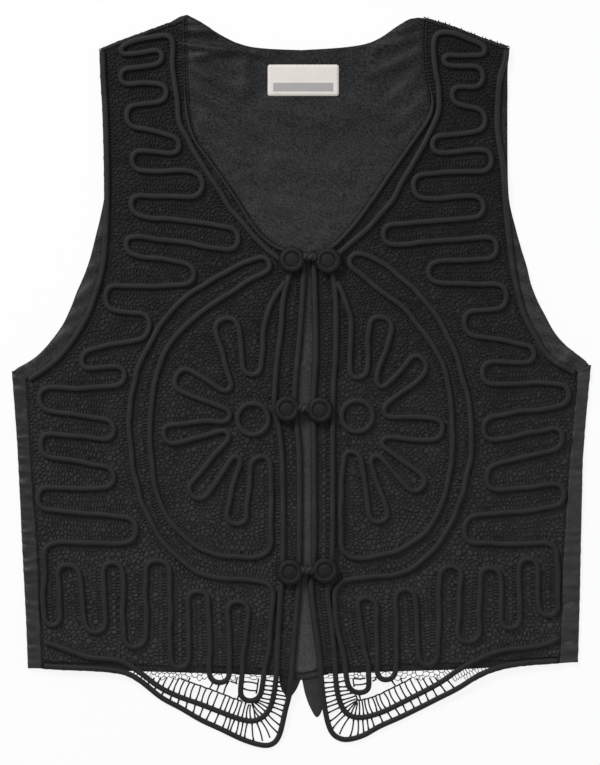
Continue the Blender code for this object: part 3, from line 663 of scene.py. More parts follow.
# The cord's other turns. A row of four is a turn: out, up, the way that it faces in degrees from straight
# out, and its width. A row of three is a plain bend: out, up, and how far its rounding reaches.
ROUTE = {
    "left": {
        "start": [(13.5, 84, 0), (31, 55, 18)],
        "arcs": [
            (25.5, -90, 30), (25.5, -145.5, 14), (80, -145, 60), (119, -108, 60), (128, -44, 60),
            (119, 22, 60), (84, 60, 60), (27.5, 100, 150, 13), (56, 96, 60), (113, 59, 60), (141, 3, 60),
            (144, -61, 60), (126, -123, 60), (88.5, -160.5, 60), (47, -164.5, 30), (22, -166, 14),
            (27, -215, 20),
        ],
        "hem": [
            (42.7, -264.5, 270, 17.5), (53, -181.5, 90, 18), (67.5, -249.5, 270, 17.5), (86, -173, 90, 17.5),
            (101, -238, 270, 17), (119, -148, 90, 21), (138, -220.5, 270, 18), (157.5, -149.5, 90, 17),
            (170, -208, 270, 16), (194, -152, 90, 16), (206.5, -202, 270, 13), (214, -133.5, 12),
        ],
        "side": [
            (136.5, -123, 180, 21), (219, -96, 0, 18), (155, -80, 180, 17), (217, -51, 0, 20),
            (155, -40, 180, 17), (217, -14, 0, 18), (146.5, 5, 180, 18), (183, 18, 0, 16),
            (125.5, 47, 180, 22), (163, 69, 0, 21), (88.5, 88.5, 180, 17), (147, 114, 0, 15),
            (53, 117.5, 180, 18), (141, 146.5, 0, 16), (82, 163, 180, 22), (140, 184, 0, 17),
            (100.5, 196, 180, 14), (146, 220, 0, 18), (112, 239.5, 180, 15), (150, 252.5, 0, 12),
            (115, 269.5, 180, 12), (150.5, 274, 0, 7.5), (131.5, 285, 10), (107, 288, 8),
        ],
        "neck": [
            (106.5, 258, 30), (104, 232, 30), (100, 208, 30), (78, 172, 30), (43.5, 121, 30), (15, 99, 0),
        ],
    },
    "right": {
        "start": [(27.5, 84, 0), (41, 60, 16)],
        "arcs": [
            (32.5, -90, 30), (32, -145.5, 14), (77.5, -145, 60), (115, -115, 60), (127.5, -53, 60),
            (121, 9.5, 60), (94, 55, 60), (40.5, 102, 150, 11), (63.5, 104, 60), (115, 55, 60),
            (138, -3, 60), (142.5, -61, 60), (125, -123, 60), (90, -160, 60), (48.5, -163, 30),
            (26, -165, 14), (31.5, -215, 20),
        ],
        "hem": [
            (49.5, -258.5, 270, 17), (53.5, -179, 90, 16), (71, -248, 270, 16), (86, -171.5, 90, 16),
            (105, -235, 270, 16), (123.5, -153, 90, 18), (137.5, -216, 270, 18), (156.5, -154, 90, 17),
            (173, -204, 270, 16), (188, -146.5, 90, 17), (204, -194, 270, 16), (212, -134, 10),
        ],
        "side": [
            (134, -123, 180, 22), (217, -94, 0, 19), (152.5, -80, 180, 20), (216, -46, 0, 19),
            (150.5, -40, 180, 20), (222, -9.5, 0, 18), (149, 7, 180, 19), (192.5, 23, 0, 14),
            (134, 49.5, 180, 22), (171, 70, 0, 22), (105, 91, 180, 17), (162, 111.5, 0, 18),
            (67, 121.5, 180, 18), (150.5, 145, 0, 18), (92.5, 161.5, 180, 21), (158, 184, 0, 19),
            (108.5, 196.5, 180, 15), (153, 217, 0, 19), (124, 237, 180, 14), (150.5, 252.5, 0, 17),
            (117, 266.3, 180, 8.5), (153, 274.5, 0, 8.5), (134.5, 286, 10), (109.5, 292, 10),
        ],
        "neck": [
            (109.5, 262, 30), (114.5, 241, 12), (115, 226, 12), (110, 213, 12), (80, 158.5, 20),
            (73, 147, 16), (52.5, 124.5, 16), (29, 103.5, 0),
        ],
    },
}

# The second cord: down the placket, round the point and along the hem
INNER_CORD = {
    "left": [
        (8.5, 94), (10.5, 87), (15.4, 67.5), (17, 43), (20.3, 18), (22.5, -15), (20, -32), (16.2, -65),
        (15.4, -148), (17.8, -181), (19.5, -215), (21.2, -248), (26.5, -272), (38, -281.5), (51, -280),
        (67.5, -274), (84, -267.5), (101, -261.5), (117.5, -253.5), (134, -241), (150.5, -231),
        (175.5, -228.5), (193, -222.5), (216.3, -214.5),
    ],
    "right": [
        (23.5, 94), (26, 87), (28.3, 68), (28.3, 26), (26, -15), (25.3, -140), (21.2, -169), (25.3, -206),
        (27.5, -231), (29.5, -256), (35.5, -273.5), (47, -279), (65, -275), (82, -267), (98.5, -258.5),
        (115, -249.5), (131.5, -238), (148, -229.5), (165, -223), (190, -220), (206, -216.5), (214.5, -211),
    ],
}


def corners_of(rows, side):
    """The corner points of a cord's turns and bends, each with the reach of its rounding."""
    corners = []
    places = [Vector(row[:2]) for row in rows]
    for i, row in enumerate(rows):
        if len(row) == 3:
            corners.append((places[i], row[2]))
            continue
        facing, size = row[2:]
        before, after = places[i - 1], places[i + 1]
        across = Vector((-math.sin(math.radians(facing)), math.cos(math.radians(facing)))) * (size / 2)
        pair = [places[i] + across, places[i] - across]
        pair.sort(key=lambda corner: (corner - before).length - (corner - after).length)
        corners += [(corner, size / 2) for corner in pair]
    return [(point(side, *corner), reach * MM) for corner, reach in corners]


def rounded(corners, steps=7):
    """A line through the corners, each rounded within its reach."""
    line = [corners[0][0]]
    for (before, _), (corner, reach), (after, _) in zip(corners, corners[1:], corners[2:]):
        start = corner + (before - corner) * min(0.5, reach / (before - corner).length)
        end = corner + (after - corner) * min(0.5, reach / (after - corner).length)
        for i in range(steps + 1):
            t = i / steps
            here = start * (1 - t) ** 2 + corner * (2 * t * (1 - t)) + end * t**2
            if (here - line[-1]).length > LEAST_STEP * MM:
                line.append(here)
    line.append(corners[-1][0])
    return line


def lace_route(side):
    """The long cord of one front, from the placket to the knot at the neck."""
    flower = FLOWER[side]
    rows = list(ROUTE[side]["start"])
    turns = [flower["inner"][0]]
    for petal, inner in zip(flower["petals"], flower["inner"][1:]):
        turns += [petal, inner]
    for i, (direction, reach, width) in enumerate(turns):
        angle = math.radians(direction)
        out = flower["centre"][0] + reach * math.cos(angle)
        up = flower["centre"][1] + reach * math.sin(angle)
        facing = direction if i % 2 else direction + 180
        rows.append((out, up, facing, width))
    for part in ("arcs", "hem", "side", "neck"):
        rows += ROUTE[side][part]
    return rounded(corners_of(rows, side))


def edge_route(side, names):
    """The binding cord, just inside the front's edge."""
    line = []
    for name in names:
        line += side_curve(FRONT[side][name], side)[bool(line):]
    turn = -1 if side == "left" else 1
    return inset(line, turn * EDGE_INSET * MM)


def softened(line, closed=False, sway=0.0):
    """The line as a firm cord takes it: its bends eased, and its straight runs swaying a little."""
    line = stations(line + line[:1] if closed else line + line[-1:], SOFT_STEP, 0)
    if sway:
        ways = [(after - here).normalized() for here, after in zip(line, line[1:])]
        for i, way in enumerate(ways):
            place = Vector((i * SOFT_STEP / SWAY_LENGTH, 0.5, len(line)))
            line[i] = line[i] + Vector((-way.y, way.x)) * sway * noise.noise(place) * MM
    for _ in range(SOFT_ROUNDS):
        before = line[-1:] + line[:-1] if closed else line[:1] + line[:-1]
        after = line[1:] + line[:1] if closed else line[1:] + line[-1:]
        line = [(a + 2 * p + b) / 4 for a, p, b in zip(before, line, after)]
    return line


def ring_line(side):
    """The ring in the middle of the half flower."""
    out, up = FLOWER[side]["centre"]
    angles = [2 * math.pi * i / 32 for i in range(32)]
    return [point(side, out + RING_RADIUS * math.cos(a), up + RING_RADIUS * math.sin(a)) for a in angles]


def cord_lines(side):
    """The middle lines of one front's cords."""
    return {
        f"lace_cord_{side}": softened(lace_route(side), sway=SWAY),
        f"ring_{side}": softened(ring_line(side), closed=True),
        f"inner_cord_{side}": softened(side_curve(INNER_CORD[side], side)),
        f"edge_cord_{side}": softened(edge_route(side, ("neck", "placket"))),
        f"armhole_cord_{side}": softened(edge_route(side, ("armhole",))),
    }


def front_outline(side):
    """The front's edges, one after the other round it."""
    edges = FRONT[side] | {"seam": SEAM[side]}
    outline = []
    for name in ("neck", "placket", "seam", "armhole", "shoulder"):
        outline += side_curve(edges[name], side, 3.4)[:-1]
    return outline


def is_low(place):
    """Whether a place is in the open net, below the back's hem."""
    return place.y < OPEN_TOP * MM


def front_height(x, y):
    """The height of the front's lower face, which comes down to the surface past the back's hem."""
    over = ramp(y, DROP[1], DROP[0])
    return FRONT_Z * over + lift(x, y) + relief(x, y) * over


def stations(line, pitch, offset, start=0.0):
    """Places one pitch apart along a line, moved to its left by an offset."""
    places = []
    left = start * pitch
    for here, after in zip(line, line[1:]):
        length = (after - here).length
        way = (after - here).normalized()
        while left <= length:
            places.append(here + way * left + Vector((-way.y, way.x)) * offset * MM)
            left += pitch * MM
        left -= length
    return places


class Cells:
    """The middles of the lace's cells, which keep their distance from each other and from the cords."""

    def __init__(self, outline, cords):
        self.places = []
        self.squares = {}
        self.cords = kdtree.KDTree(sum(len(cord) for cord in cords))
        for i, p in enumerate(p for cord in cords for p in cord):
            self.cords.insert((p.x, p.y, 0), i)
        self.cords.balance()
        for p in outline:
            self.keep(p)

    def clearance(self, place):
        """How far the nearest cord's middle is, in millimetres."""
        return self.cords.find((place.x, place.y, 0))[2] / MM

    def square(self, place):
        """The square of the vest that a place is in, which its neighbours are looked up by."""
        return math.floor(place.x / SQUARE), math.floor(place.y / SQUARE)

    def keep(self, place):
        self.places.append(place)
        self.squares.setdefault(self.square(place), []).append(place)

    def add(self, places, apart, clear):
        """Takes each place that is free."""
        for place in places:
            column, row = self.square(place)
            around = [(column + i, row + j) for i in (-1, 0, 1) for j in (-1, 0, 1)]
            near = [p for square in around for p in self.squares.get(square, ())]
            if all((p - place).length >= apart * MM for p in near) and self.clearance(place) > clear:
                self.keep(place)


def fill_cells(cells, outline, cords, seed):
    """Rows of cells beside the cords, then the rest between them."""
    for i in range(ROWS):
        distance = BESIDE + ROW * i
        for line in cords.values():
            for offset in (distance, -distance):
                cells.add(stations(line, CELL, offset, 0.5 * (i % 2)), CELL * CLOSE, distance - 0.4)
    chance = random.Random(seed)
    low_x, high_x = min(p.x for p in outline) / MM, max(p.x for p in outline) / MM
    fill = []
    for j in range(int(FRONT_LENGTH / FILL)):
        for i in range(int((high_x - low_x) / FILL) + 1):
            x = low_x + (i + chance.uniform(-UNEVEN, UNEVEN) + 0.5 * (j % 2)) * FILL
            fill.append(Vector((x, FRONT_LOW + (j + chance.uniform(-UNEVEN, UNEVEN)) * FILL)) * MM)
    cells.add(fill, FILL_APART, FILL_CLEAR)


def cell_web(cells, outline, turned):
    """A web of triangles between the cells' middles, within the outline."""
    rim = list(range(len(outline)))
    rim = rim[::-1] if turned else rim
    verts, _, faces = geometry.delaunay_2d_cdt(cells.places, [], [rim], 1, 1e-6)[:3]
    chance = random.Random(5)
    places = []
    for p in verts:
        rise = front_height(p.x / MM, p.y / MM) + LACE_Z + chance.uniform(-LACE_LIE, LACE_LIE)
        places.append((p.x, p.y, rise * MM))
    web = bpy.data.meshes.new("web")
    web.from_pydata(places, [], faces)
    return web


def growth(name):
    """The nodes of a new tree that grows one mesh from another, and the mesh that it starts from."""
    tree = bpy.data.node_groups.new(name, "GeometryNodeTree")
    for way in ("INPUT", "OUTPUT"):
        tree.interface.new_socket("Mesh", in_out=way, socket_type="NodeSocketGeometry")
    nodes = Nodes(tree)
    return nodes, nodes.node("NodeGroupInput")


def round_section(nodes, sides, radius):
    values = {"Resolution": sides, "Radius": radius}
    return nodes.node("GeometryNodeCurvePrimitiveCircle", values, mode="RADIUS")


def named(nodes, name):
    """What the mesh says about each of its corners under a name."""
    return nodes.node("GeometryNodeInputNamedAttribute", {"Name": name}, data_type="FLOAT")


def tubes(nodes, path, section, size, closed=False):
    """Ends the tree with smooth tubes along its paths, of a section and size."""
    values = {"Curve": path, "Profile Curve": section, "Scale": size, "Fill Caps": closed}
    tube = nodes.node("GeometryNodeCurveToMesh", values)
    end = nodes.tree.nodes.new("NodeGroupOutput")
    nodes.join(end.inputs[0], nodes.node("GeometryNodeSetShadeSmooth", {"Geometry": tube}))
    return nodes.tree


def thread_growth():
    """Turns a web of triangles into the cells round its corners, and their edges into threads."""
    nodes, web = growth("threads")
    cells = nodes.node("GeometryNodeDualMesh", {"Mesh": web, "Keep Boundaries": True})
    up = nodes.node("ShaderNodeSeparateXYZ", {"Vector": nodes.node("GeometryNodeInputPosition")}, "Y")
    values = {"Geometry": cells, "Selection": up.math("GREATER_THAN", up, OPEN_TOP * MM)}
    cells = nodes.node("GeometryNodeSeparateGeometry", values, domain="FACE")
    paths = nodes.node("GeometryNodeMeshToCurve", {"Mesh": cells})
    uneven = nodes.node("FunctionNodeRandomValue", THREAD_SIZE | {"Seed": 3}, 1, data_type="FLOAT")
    return tubes(nodes, paths, round_section(nodes, 3, THREAD_RADIUS * MM), uneven)


def shade_below(web):
    """Marks where the lining lies in the lace's shade."""
    traits = lining.data.attributes
    shaded = traits.get("shaded") or traits.new("shaded", "FLOAT", "POINT")
    corners = [vert.co for vert in web.vertices]
    cover = bvhtree.BVHTree.FromPolygons(corners, [face.vertices for face in web.polygons])
    for i, vert in enumerate(lining.data.vertices):
        if cover.ray_cast((vert.co.x, vert.co.y, -1), (0, 0, 1))[0] is not None:
            shaded.data[i].value = 1.0


def strand_growth():
    """Turns edge chains into threads that are as thick as their corners say."""
    nodes, chains = growth("strands")
    paths = nodes.node("GeometryNodeMeshToCurve", {"Mesh": chains})
    return tubes(nodes, paths, round_section(nodes, 5, MM), named(nodes, "thread_size"))


def open_strands(cells, inner, turn):
    """The threads of the open net: those across, each until it meets a cord or the hem, and those along."""

    def is_free(place, depth):
        """Whether a place lies clear of the cords, and not where a line at this depth folds back."""
        folded = min((p - place).length for p in inner) < (abs(depth) - OPEN_FOLD) * MM
        return is_low(place) and not folded and cells.clearance(place) > OPEN_CLEAR[abs(depth) > 2]

    chance = random.Random(11)
    strands = []
    for depth, pitch, longest, from_out, to_out in OPEN_ROWS:
        feet = stations(inner, pitch, turn * depth)
        heads = stations(inner, pitch, turn * (depth + math.copysign(1, depth)))
        for foot, head in zip(feet, heads):
            way = head - foot
            sway = Vector((-way.y, way.x)) * chance.uniform(-OPEN_SWAY, OPEN_SWAY)
            if not (is_free(foot, depth) and from_out * MM <= abs(foot.x) < to_out * MM):
                continue
            strand = [foot]
            for i in range(1, int(longest / OPEN_STEP) + 1):
                bow = math.sin(math.pi * min(1, i * OPEN_STEP / longest))
                strand.append(foot + way * OPEN_STEP * i + sway * bow)
                if not is_low(strand[-1]) or i > 2 and cells.clearance(strand[-1]) < OPEN_MEET:
                    break
                if any((other[-1] - strand[-1]).length < OPEN_APART * MM for other in strands):
                    break
            strands.append(strand)
    for depth in OPEN_LINES:
        strand = []
        for i, place in enumerate(stations(inner, OPEN_STEP, turn * depth)):
            if is_free(place, depth):
                wave = OPEN_WAVE * noise.noise(Vector((i / 4, depth, 1.0)))
                strand.append(place + Vector((0, wave)) * MM)
            elif strand:
                strands.append(strand)
                strand = []
        strands.append(strand)
    return [strand for strand in strands if len(strand) > 2]


def strand_mesh(cells, strands):
    """The threads' middle lines as edge chains, with each corner's radius."""
    chain = bmesh.new()
    sizes = chain.verts.layers.float.new("thread_size")
    for strand in strands:
        verts = []
        for p in strand:
            height = front_height(p.x / MM, p.y / MM) + LACE_Z
            verts.append(chain.verts.new((p.x, p.y, height * MM)))
            near = 1 - ramp(cells.clearance(p), *OPEN_FLARE)
            verts[-1][sizes] = OPEN_SIZE[0] + (OPEN_SIZE[1] - OPEN_SIZE[0]) * near
        for pair in zip(verts, verts[1:]):
            chain.edges.new(pair)
    return as_data("strands", chain)


def grown(name, data, tree):
    """The mesh data that a node tree grows from another, with nothing left live."""
    seed = bpy.data.objects.new(name, data)
    bpy.context.scene.collection.objects.link(seed)
    seed.modifiers.new("growth", "NODES").node_group = tree
    shown = bpy.context.evaluated_depsgraph_get()
    result = seed.evaluated_get(shown)
    made = bpy.data.meshes.new_from_object(result, preserve_all_data_layers=True, depsgraph=shown)
    made.name = name
    bpy.data.objects.remove(seed)
    return made


def lace_thread():
    """Black buttonhole thread, matt and slightly fuzzy."""
    finish = Finish("needle_lace_thread", {"Specular IOR Level": 0.15})
    fibre = finish.grain(1800, (1, 1, 1), 3.0)
    cloudy = finish.grain(30, (1, 1, 1), 2.0)
    finish.tint(fibre * 0.4 + cloudy * 0.6, (0.3, (0.0128, 0.0122, 0.0126)), (0.7, (0.03, 0.0286, 0.03)))
    finish.roughen(fibre * 0.2 + 0.7)
    finish.emboss(fibre, 0.1, 0.6)
    return finish.material


threads = thread_growth()
open_threads = strand_growth()
black_thread = lace_thread()
FRONT_SIZE = {"left": ((0.233, 0.607), 0.095), "right": ((0.223, 0.599), 0.092)}
CORDS = {"left": cord_lines("left"), "right": cord_lines("right")}
for side, (flat, area) in FRONT_SIZE.items():
    turn = -1 if side == "left" else 1
    outline = front_outline(side)
    cells = Cells(outline, [stations(line, 0.8, 0) for line in CORDS[side].values()])
    fill_cells(cells, outline, CORDS[side], 7 if side == "left" else 8)
    web = cell_web(cells, outline, side == "left")
    shade_below(web)
    strands = strand_mesh(cells, open_strands(cells, CORDS[side][f"inner_cord_{side}"], turn))
    net = bmesh.new()
    net.from_mesh(grown("lace", web, threads))
    net.from_mesh(grown("strands", strands, open_threads))
    data = as_data("lace", net)
    lace = piece(f"needle_lace_{side}", data, black_thread, "needle_lace", f"lace_{side}")


# The cords are round and firm, about 4 mm wide, and sewn down along their length. One long cord draws
# each front's pattern, a ring is the flower's eye, and plain cords bind the edges.

CORD_HALF = (2.25, 1.35)
CORD_STEP = 1.8
CORD_SIDES = 12
CORD_RISE = 1.0 + CORD_HALF[1]
CORD_END = 0.88
CORD_TAPER = 0.1
BRAID_LENGTH = 2.1
BRAID_TURNS = 5

# The neck's binding cord is thinner than the others. Above the second pair of heights it turns under the
# lining's edge and all but ends.
NECK = (100.0, 118.0)
NECK_SIZE = {"left": 0.5, "right": 0.74}
THIN = (222.0, 246.0)
THIN_SIZE = 0.12


def cord_growth():
    """Turns a line into a round cord, with its length and its way round kept for the braid."""
    nodes, line = growth("round_cord")
    path = nodes.node("GeometryNodeMeshToCurve", {"Mesh": line})
    path = nodes.node("GeometryNodeCurveSplineType", {"Curve": path}, spline_type="CATMULL_ROM")
    path = nodes.node("GeometryNodeResampleCurve", {"Curve": path, "Length": CORD_STEP * MM}, mode="LENGTH")
    path = nodes.node("GeometryNodeSetCurveNormal", {"Curve": path}, mode="Z_UP")
    section = round_section(nodes, CORD_SIDES, MM)
    kept = []
    for curve, name, share in ((path, "cord_length", "Length"), (section, "cord_round", "Factor")):
        share = nodes.node("GeometryNodeSplineParameter", output=share)
        values = {"Geometry": curve, "Name": name, "Value": share}
        kept.append(nodes.node("GeometryNodeStoreNamedAttribute", values, data_type="FLOAT", domain="POINT"))
    path, section = kept
    section = nodes.node("GeometryNodeTransform", {"Geometry": section, "Rotation": (0, 0, -math.pi / 2)})
    section = nodes.node("GeometryNodeTransform", {"Geometry": section, "Scale": (*CORD_HALF, 1)})
    return tubes(nodes, path, section, named(nodes, "cord_size"), closed=True)


def cord_line(line, closed, neck=1.0, whole=1.0, rise=CORD_RISE):
    """A line as an edge chain, laid on the lace, with the cord's size along it as a share."""
    chain = bmesh.new()
    sizes = chain.verts.layers.float.new("cord_size")
    half = CORD_WIDTH / 2
    for i, p in enumerate(line):
        x, y = p.x / MM, p.y / MM
        beside = [(x - half, y), (x + half, y), (x, y - half), (x, y + half)]
        from_end = min(i, len(line) - 1 - i) * SOFT_STEP
        size = whole if closed else whole * min(1, CORD_END + CORD_TAPER * from_end)
        if neck < 1:
            size *= 1 - (1 - neck) * ramp(y, *NECK) - (neck - THIN_SIZE) * ramp(y, *THIN)
        height = max(front_height(*place) for place in beside) + rise * min(1, size + 0.25)
        vert = chain.verts.new((p.x, p.y, height * MM))
        vert[sizes] = size
    verts = chain.verts[:]
    for pair in zip(verts, verts[1:] + verts[:1] if closed else verts[1:]):
        chain.edges.new(pair)
    return as_data("line", chain)


def cord_finish():
    """Satin-covered cord: a fine braid round it, with a soft shine on its crown."""
    shine = {"Specular IOR Level": 0.25, "Sheen Weight": 0.03, "Sheen Roughness": 0.5}
    finish = Finish("braided_cord", shine)
    along = finish.trait("cord_length") * (2 * math.pi / (BRAID_LENGTH * MM))
    round_it = finish.trait("cord_round") * (2 * math.pi * BRAID_TURNS)
    one_way = along.math("SINE", along + round_it)
    other_way = along.math("SINE", along - round_it)
    braid = one_way.math("MAXIMUM", one_way, other_way) * 0.5 + 0.5
    fibre = finish.grain(1500, (1, 1, 1), 2.0)
    cloudy = finish.grain(60, (1, 1, 1), 2.0)
    tone = fibre * 0.5 + braid * 0.2 + cloudy * 0.3
    finish.tint(tone, (0.3, (0.0071, 0.0066, 0.0075)), (0.75, (0.0176, 0.0164, 0.0184)))
    finish.roughen(fibre * 0.15 + 0.58)
    finish.emboss(braid * 0.6 + fibre * 0.4, 0.16, 0.5)
    return finish.material


round_cord = cord_growth()
braided = cord_finish()
for side, lines in CORDS.items():
    for node, line in lines.items():
        neck = NECK_SIZE[side] if node.startswith("edge") else 1.0
        chain = cord_line(line, node.startswith("ring"), neck)
        piece(f"sewn_{node}", grown("cord", chain, round_cord), braided, "cord", node)


# The shoulder edges are bound with a thinner cord, with small knots of thread that stand out past it. Each
# knot is a bead at the end of a short stalk.

BOUND_SIZE = 0.62
BOUND_INSET = 1.35
BOUND_RISE = 0.2

# From one share of the shoulder to another, how many knots, and how far they stand out, as a share
FRINGE = {"left": (0.30, 0.80, 9, 1.0), "right": (0.02, 0.98, 24, 1.7)}
KNOT_INSET = 0.9
KNOT_REACH = (0.4, 1.2)
KNOT_SIZE = (0.4, 0.65)
STALK_STEP = 0.6
STALK_SIZE = 0.4


def shoulder_knots(side, turn):
    """Small knots, uneven in size, on short stalks along the shoulder."""
    start, end, count, reach = FRINGE[side]
    shoulder = inset(side_curve(FRONT[side]["shoulder"], side, 1.0), turn * KNOT_INSET * MM)
    chance = random.Random(3)
    mesh = bmesh.new()
    for i in range(count):
        share = start + (end - start) * (i + chance.uniform(-0.3, 0.3)) / (count - 1)
        p = shoulder[round(min(1, max(0, share)) * (len(shoulder) - 1))]
        out = chance.uniform(*KNOT_REACH) * reach
        sizes = [chance.uniform(*KNOT_SIZE), STALK_SIZE, STALK_SIZE]
        height = front_height(p.x / MM, p.y / MM) + LACE_Z + 1
        for down, radius in enumerate(sizes):
            step = out - STALK_STEP * down
            place = Matrix.Translation((p.x, p.y + step * MM, height * MM))
            bmesh.ops.create_icosphere(mesh, subdivisions=1, radius=radius * MM, matrix=place)
    return mesh


for side, turn in (("left", -1), ("right", 1)):
    edge = inset(side_curve(FRONT[side]["shoulder"], side), turn * BOUND_INSET * MM)
    chain = cord_line(softened(edge), False, 1.0, BOUND_SIZE, BOUND_RISE)
    piece(f"shoulder_edge_{side}", grown("cord", chain, round_cord), black_thread, "cord")
    mesh = shoulder_knots(side, turn)
    piece(f"shoulder_knots_{side}", as_data("knots", mesh), black_thread, "needle_lace")


# The six buttons are knots: a rim of fine slanting turns of cord round a smooth pad. Each pair is joined
# by a short loop of three twisted strands, which starts a little inside the knots.

KNOT_Z = 6.8
KNOT_RADIUS = 11.0
KNOT_TURN = 0.7
RIM = {"ring": 8.0, "tube": (3.2, 2.9), "height": 3.1, "ribs": 29}
RIM_GROOVE = 0.36
PAD = {"radius": 6.6, "height": 3.9, "rise": 1.1, "dull": 0.38}
LINK_Z = KNOT_Z + 3.2
LINK_RADIUS = 4.3
LINK_INTO = 2.5
LINK_STEP = 0.5
LINK_TWIST = 4.6
LINK_GROOVE = 0.3
LINK_UP = {"top": 3.0, "middle": 1.2, "low": 1.2}
KNOTS = {
    "top": {"left": (-7.9, 100.8), "right": (22.0, 100.0)},
    "middle": {"left": (-12.0, -22.8), "right": (15.4, -23.7)},
    "low": {"left": (-9.5, -158.0), "right": (19.5, -156.5)},
}


def rope_ring(mesh, ring, tube, height, ribs):
    """A ring of twisted rope, spun from its round section, with grooves between its ribs that painted shade
    makes dark.
    """
    darkening_layer = mesh.verts.layers.float.new("darkening")
    place = Matrix.Translation((ring * MM, 0, height * MM)) @ Matrix.Rotation(math.pi / 2, 4, "X")
    section = bmesh.ops.create_circle(mesh, segments=10, radius=MM, matrix=place)["verts"]
    edges = list({edge for vert in section for edge in vert.link_edges})
    before = set(mesh.verts) - set(section)
    values = {"axis": (0, 0, 1), "cent": (0, 0, 0), "angle": 2 * math.pi, "steps": ribs * 6}
    bmesh.ops.spin(mesh, geom=section + edges, use_merge=True, **values)
    for vert in set(mesh.verts) - before:
        reach = vert.co.xy.length
        round_it = math.atan2(vert.co.z - height * MM, reach - ring * MM)
        turn = math.atan2(vert.co.y, vert.co.x)
        rib = abs(math.cos((ribs * turn + 3 * round_it) / 2))
        size = 1 - RIM_GROOVE + RIM_GROOVE * rib
        # Painted shade: the deeper in a groove between the ribs, the darker the rope.
        vert[darkening_layer] = 1 - rib
        out = ring + tube[0] * size * math.cos(round_it)
        rise = height + tube[1] * size * math.sin(round_it)
        vert.co = Vector((math.cos(turn) * out, math.sin(turn) * out, rise)) * MM


def knot_mesh():
    """One button: the rope rim and the flat pad within it."""
    mesh = bmesh.new()
    rope_ring(mesh, **RIM)
    before = set(mesh.verts)
    place = Matrix.Translation((0, 0, PAD["height"] * MM))
    bmesh.ops.create_uvsphere(mesh, u_segments=20, v_segments=10, radius=PAD["radius"] * MM, matrix=place)
    darkening_layer = mesh.verts.layers.float["darkening"]
    for vert in set(mesh.verts) - before:
        vert.co.z = PAD["height"] * MM + (vert.co.z - PAD["height"] * MM) * PAD["rise"] / PAD["radius"]
        # The pad is made darker all over by a set share, through the same layer as the grooves' painted
        # shade.
        vert[darkening_layer] = PAD["dull"]
    bmesh.ops.remove_doubles(mesh, verts=mesh.verts[:], dist=1e-6)
    bmesh.ops.recalc_face_normals(mesh, faces=mesh.faces[:])
    return mesh


def link_mesh(half):
    """The loop: strands twisted round the X axis, spun from a line along it."""
    mesh = bmesh.new()
    steps = round(2 * half / LINK_STEP)
    line = []
    for i in range(steps + 1):
        x = -half + 2 * half * i / steps
        radius = LINK_RADIUS * min(1, math.sin(math.pi * ramp(x, -half - 0.3, half + 0.3)) * 2.5)
        line.append(mesh.verts.new((x * MM, 0, radius * MM)))
    edges = [mesh.edges.new(pair) for pair in zip(line, line[1:])]
    values = {"axis": (1, 0, 0), "cent": (0, 0, 0), "angle": 2 * math.pi, "steps": 24}
    bmesh.ops.spin(mesh, geom=line + edges, use_merge=True, **values)
    for vert in mesh.verts:
        round_it = math.atan2(vert.co.z, vert.co.y)
        rib = abs(math.cos((3 * round_it + 2 * math.pi * vert.co.x / (LINK_TWIST * MM)) / 2))
        vert.co.yz *= 1 - LINK_GROOVE + LINK_GROOVE * rib
    bmesh.ops.holes_fill(mesh, edges=mesh.edges[:], sides=0)
    bmesh.ops.recalc_face_normals(mesh, faces=mesh.faces[:])
    return mesh


def rope_finish():
    """Matt black rope, with painted shade making it darker in its grooves, and its pad darker by a set
    share.
    """
    finish = Finish("twisted_rope", {"Specular IOR Level": 0.25})
    fibre = finish.grain(700, (1, 1, 1), 3.0)
    tone = fibre - finish.trait("darkening") * 0.9
    finish.tint(tone, (0.05, (0.001, 0.001, 0.0012)), (0.7, (0.02, 0.0195, 0.022)))
    finish.roughen(fibre * 0.25 + 0.48)
    finish.emboss(fibre, 0.4, 0.8)
    return finish.material


rope = rope_finish()
for place, pair in KNOTS.items():
    for side, (x, y) in pair.items():
        data = as_data("knot", knot_mesh())
        turn = Matrix.Rotation(KNOT_TURN * x, 4, "Z")
        data.transform(Matrix.Translation((x * MM, y * MM, (KNOT_Z + lift(x, y)) * MM)) @ turn)
        piece(f"rope_knot_{place}_{side}", data, rope, "knot", f"knot_{place}_{side}")
    left, right = Vector(pair["left"]), Vector(pair["right"])
    middle = (left + right) / 2 + Vector((0, LINK_UP[place]))
    way = right - left
    data = as_data("link", link_mesh(way.length / 2 - KNOT_RADIUS + LINK_INTO))
    turn = Matrix.Rotation(math.atan2(way.y, way.x), 4, "Z")
    data.transform(Matrix.Translation(Vector((*middle, LINK_Z + lift(*middle))) * MM) @ turn)
    piece(f"rope_link_{place}", data, rope, "knot", f"link_{place}")


# The vest lies on a plain white surface under soft light from the upper left. The camera looks straight
# down from far above, as in the photograph.

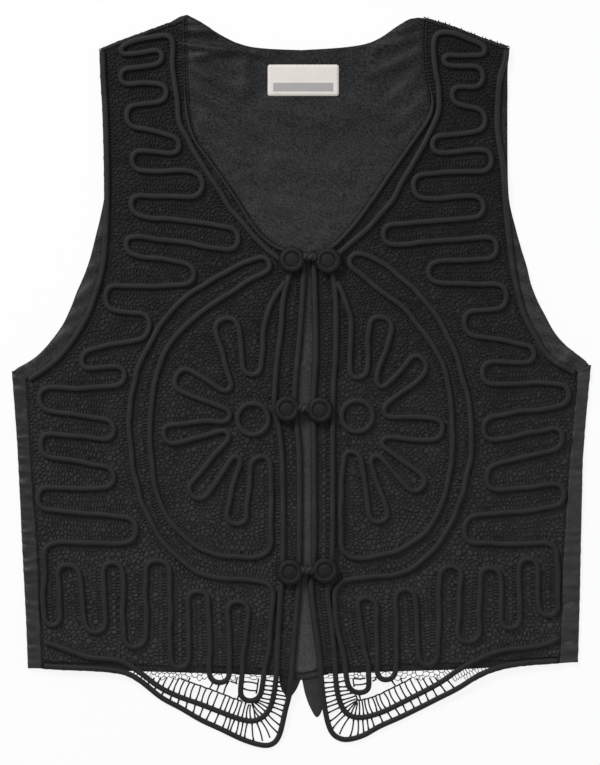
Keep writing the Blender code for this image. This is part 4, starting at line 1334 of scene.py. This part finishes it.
PIXEL = 0.83
VIEW_HEIGHT = 765 * PIXEL * MM
CAMERA_HEIGHT = 3.2
CAMERA_OFF = (-1.2, -0.8)
SENSOR = 36.0
FLOOR_DROP = 0.2
SKY = 0.45
LAMPS = {"key": ((-1.6, 1.9, 2.2), 1.2, 88.0), "fill": ((2.2, 0.6, 2.2), 2.0, 12.0)}


def white_surface():
    """A white ground that the light doesn't grey."""
    finish = Finish("white_surface", {"Roughness": 0.9, "Specular IOR Level": 0.1})
    finish.join(finish.shader.inputs["Emission Strength"], 0.877)
    cloudy = finish.grain(3, (1, 1, 1), 2.0)
    finish.tint(cloudy, (0.3, (0.095, 0.095, 0.095)), (0.7, (0.1, 0.1, 0.1)))
    finish.join(finish.shader.inputs["Emission Color"], (1, 1, 1, 1))
    return finish.material


def soft_light(name, place, size, power):
    """A round lamp that faces the vest."""
    lamp = bpy.data.lights.new(name, "AREA")
    lamp.shape = "DISK"
    lamp.size = size
    lamp.energy = power
    made = bpy.data.objects.new(name, lamp)
    made.location = place
    made.rotation_euler = (-Vector(place)).to_track_quat("-Z", "Y").to_euler()
    bpy.context.scene.collection.objects.link(made)


surface = bmesh.new()
below = Matrix.Translation((0, 0, -FLOOR_DROP * MM))
bmesh.ops.create_grid(surface, x_segments=1, y_segments=1, size=4.0, matrix=below)
floor = bpy.data.objects.new("floor", as_data("floor", surface))
floor.data.materials.append(white_surface())
bpy.context.scene.collection.objects.link(floor)

scene = bpy.context.scene
scene.view_settings.view_transform = "Standard"
world = bpy.data.worlds.new("studio")
world.use_nodes = True
sky = world.node_tree.nodes["Background"]
sky.inputs["Color"].default_value = (1, 1, 1, 1)
sky.inputs["Strength"].default_value = SKY
scene.world = world
for name, values in LAMPS.items():
    soft_light(name, *values)

lens = bpy.data.cameras.new("camera")
lens.lens = SENSOR * CAMERA_HEIGHT / VIEW_HEIGHT
lens.sensor_width = SENSOR
lens.clip_end = 20.0
camera = bpy.data.objects.new("camera", lens)
camera.location = (CAMERA_OFF[0] * MM, CAMERA_OFF[1] * MM, CAMERA_HEIGHT)
scene.collection.objects.link(camera)
scene.camera = camera
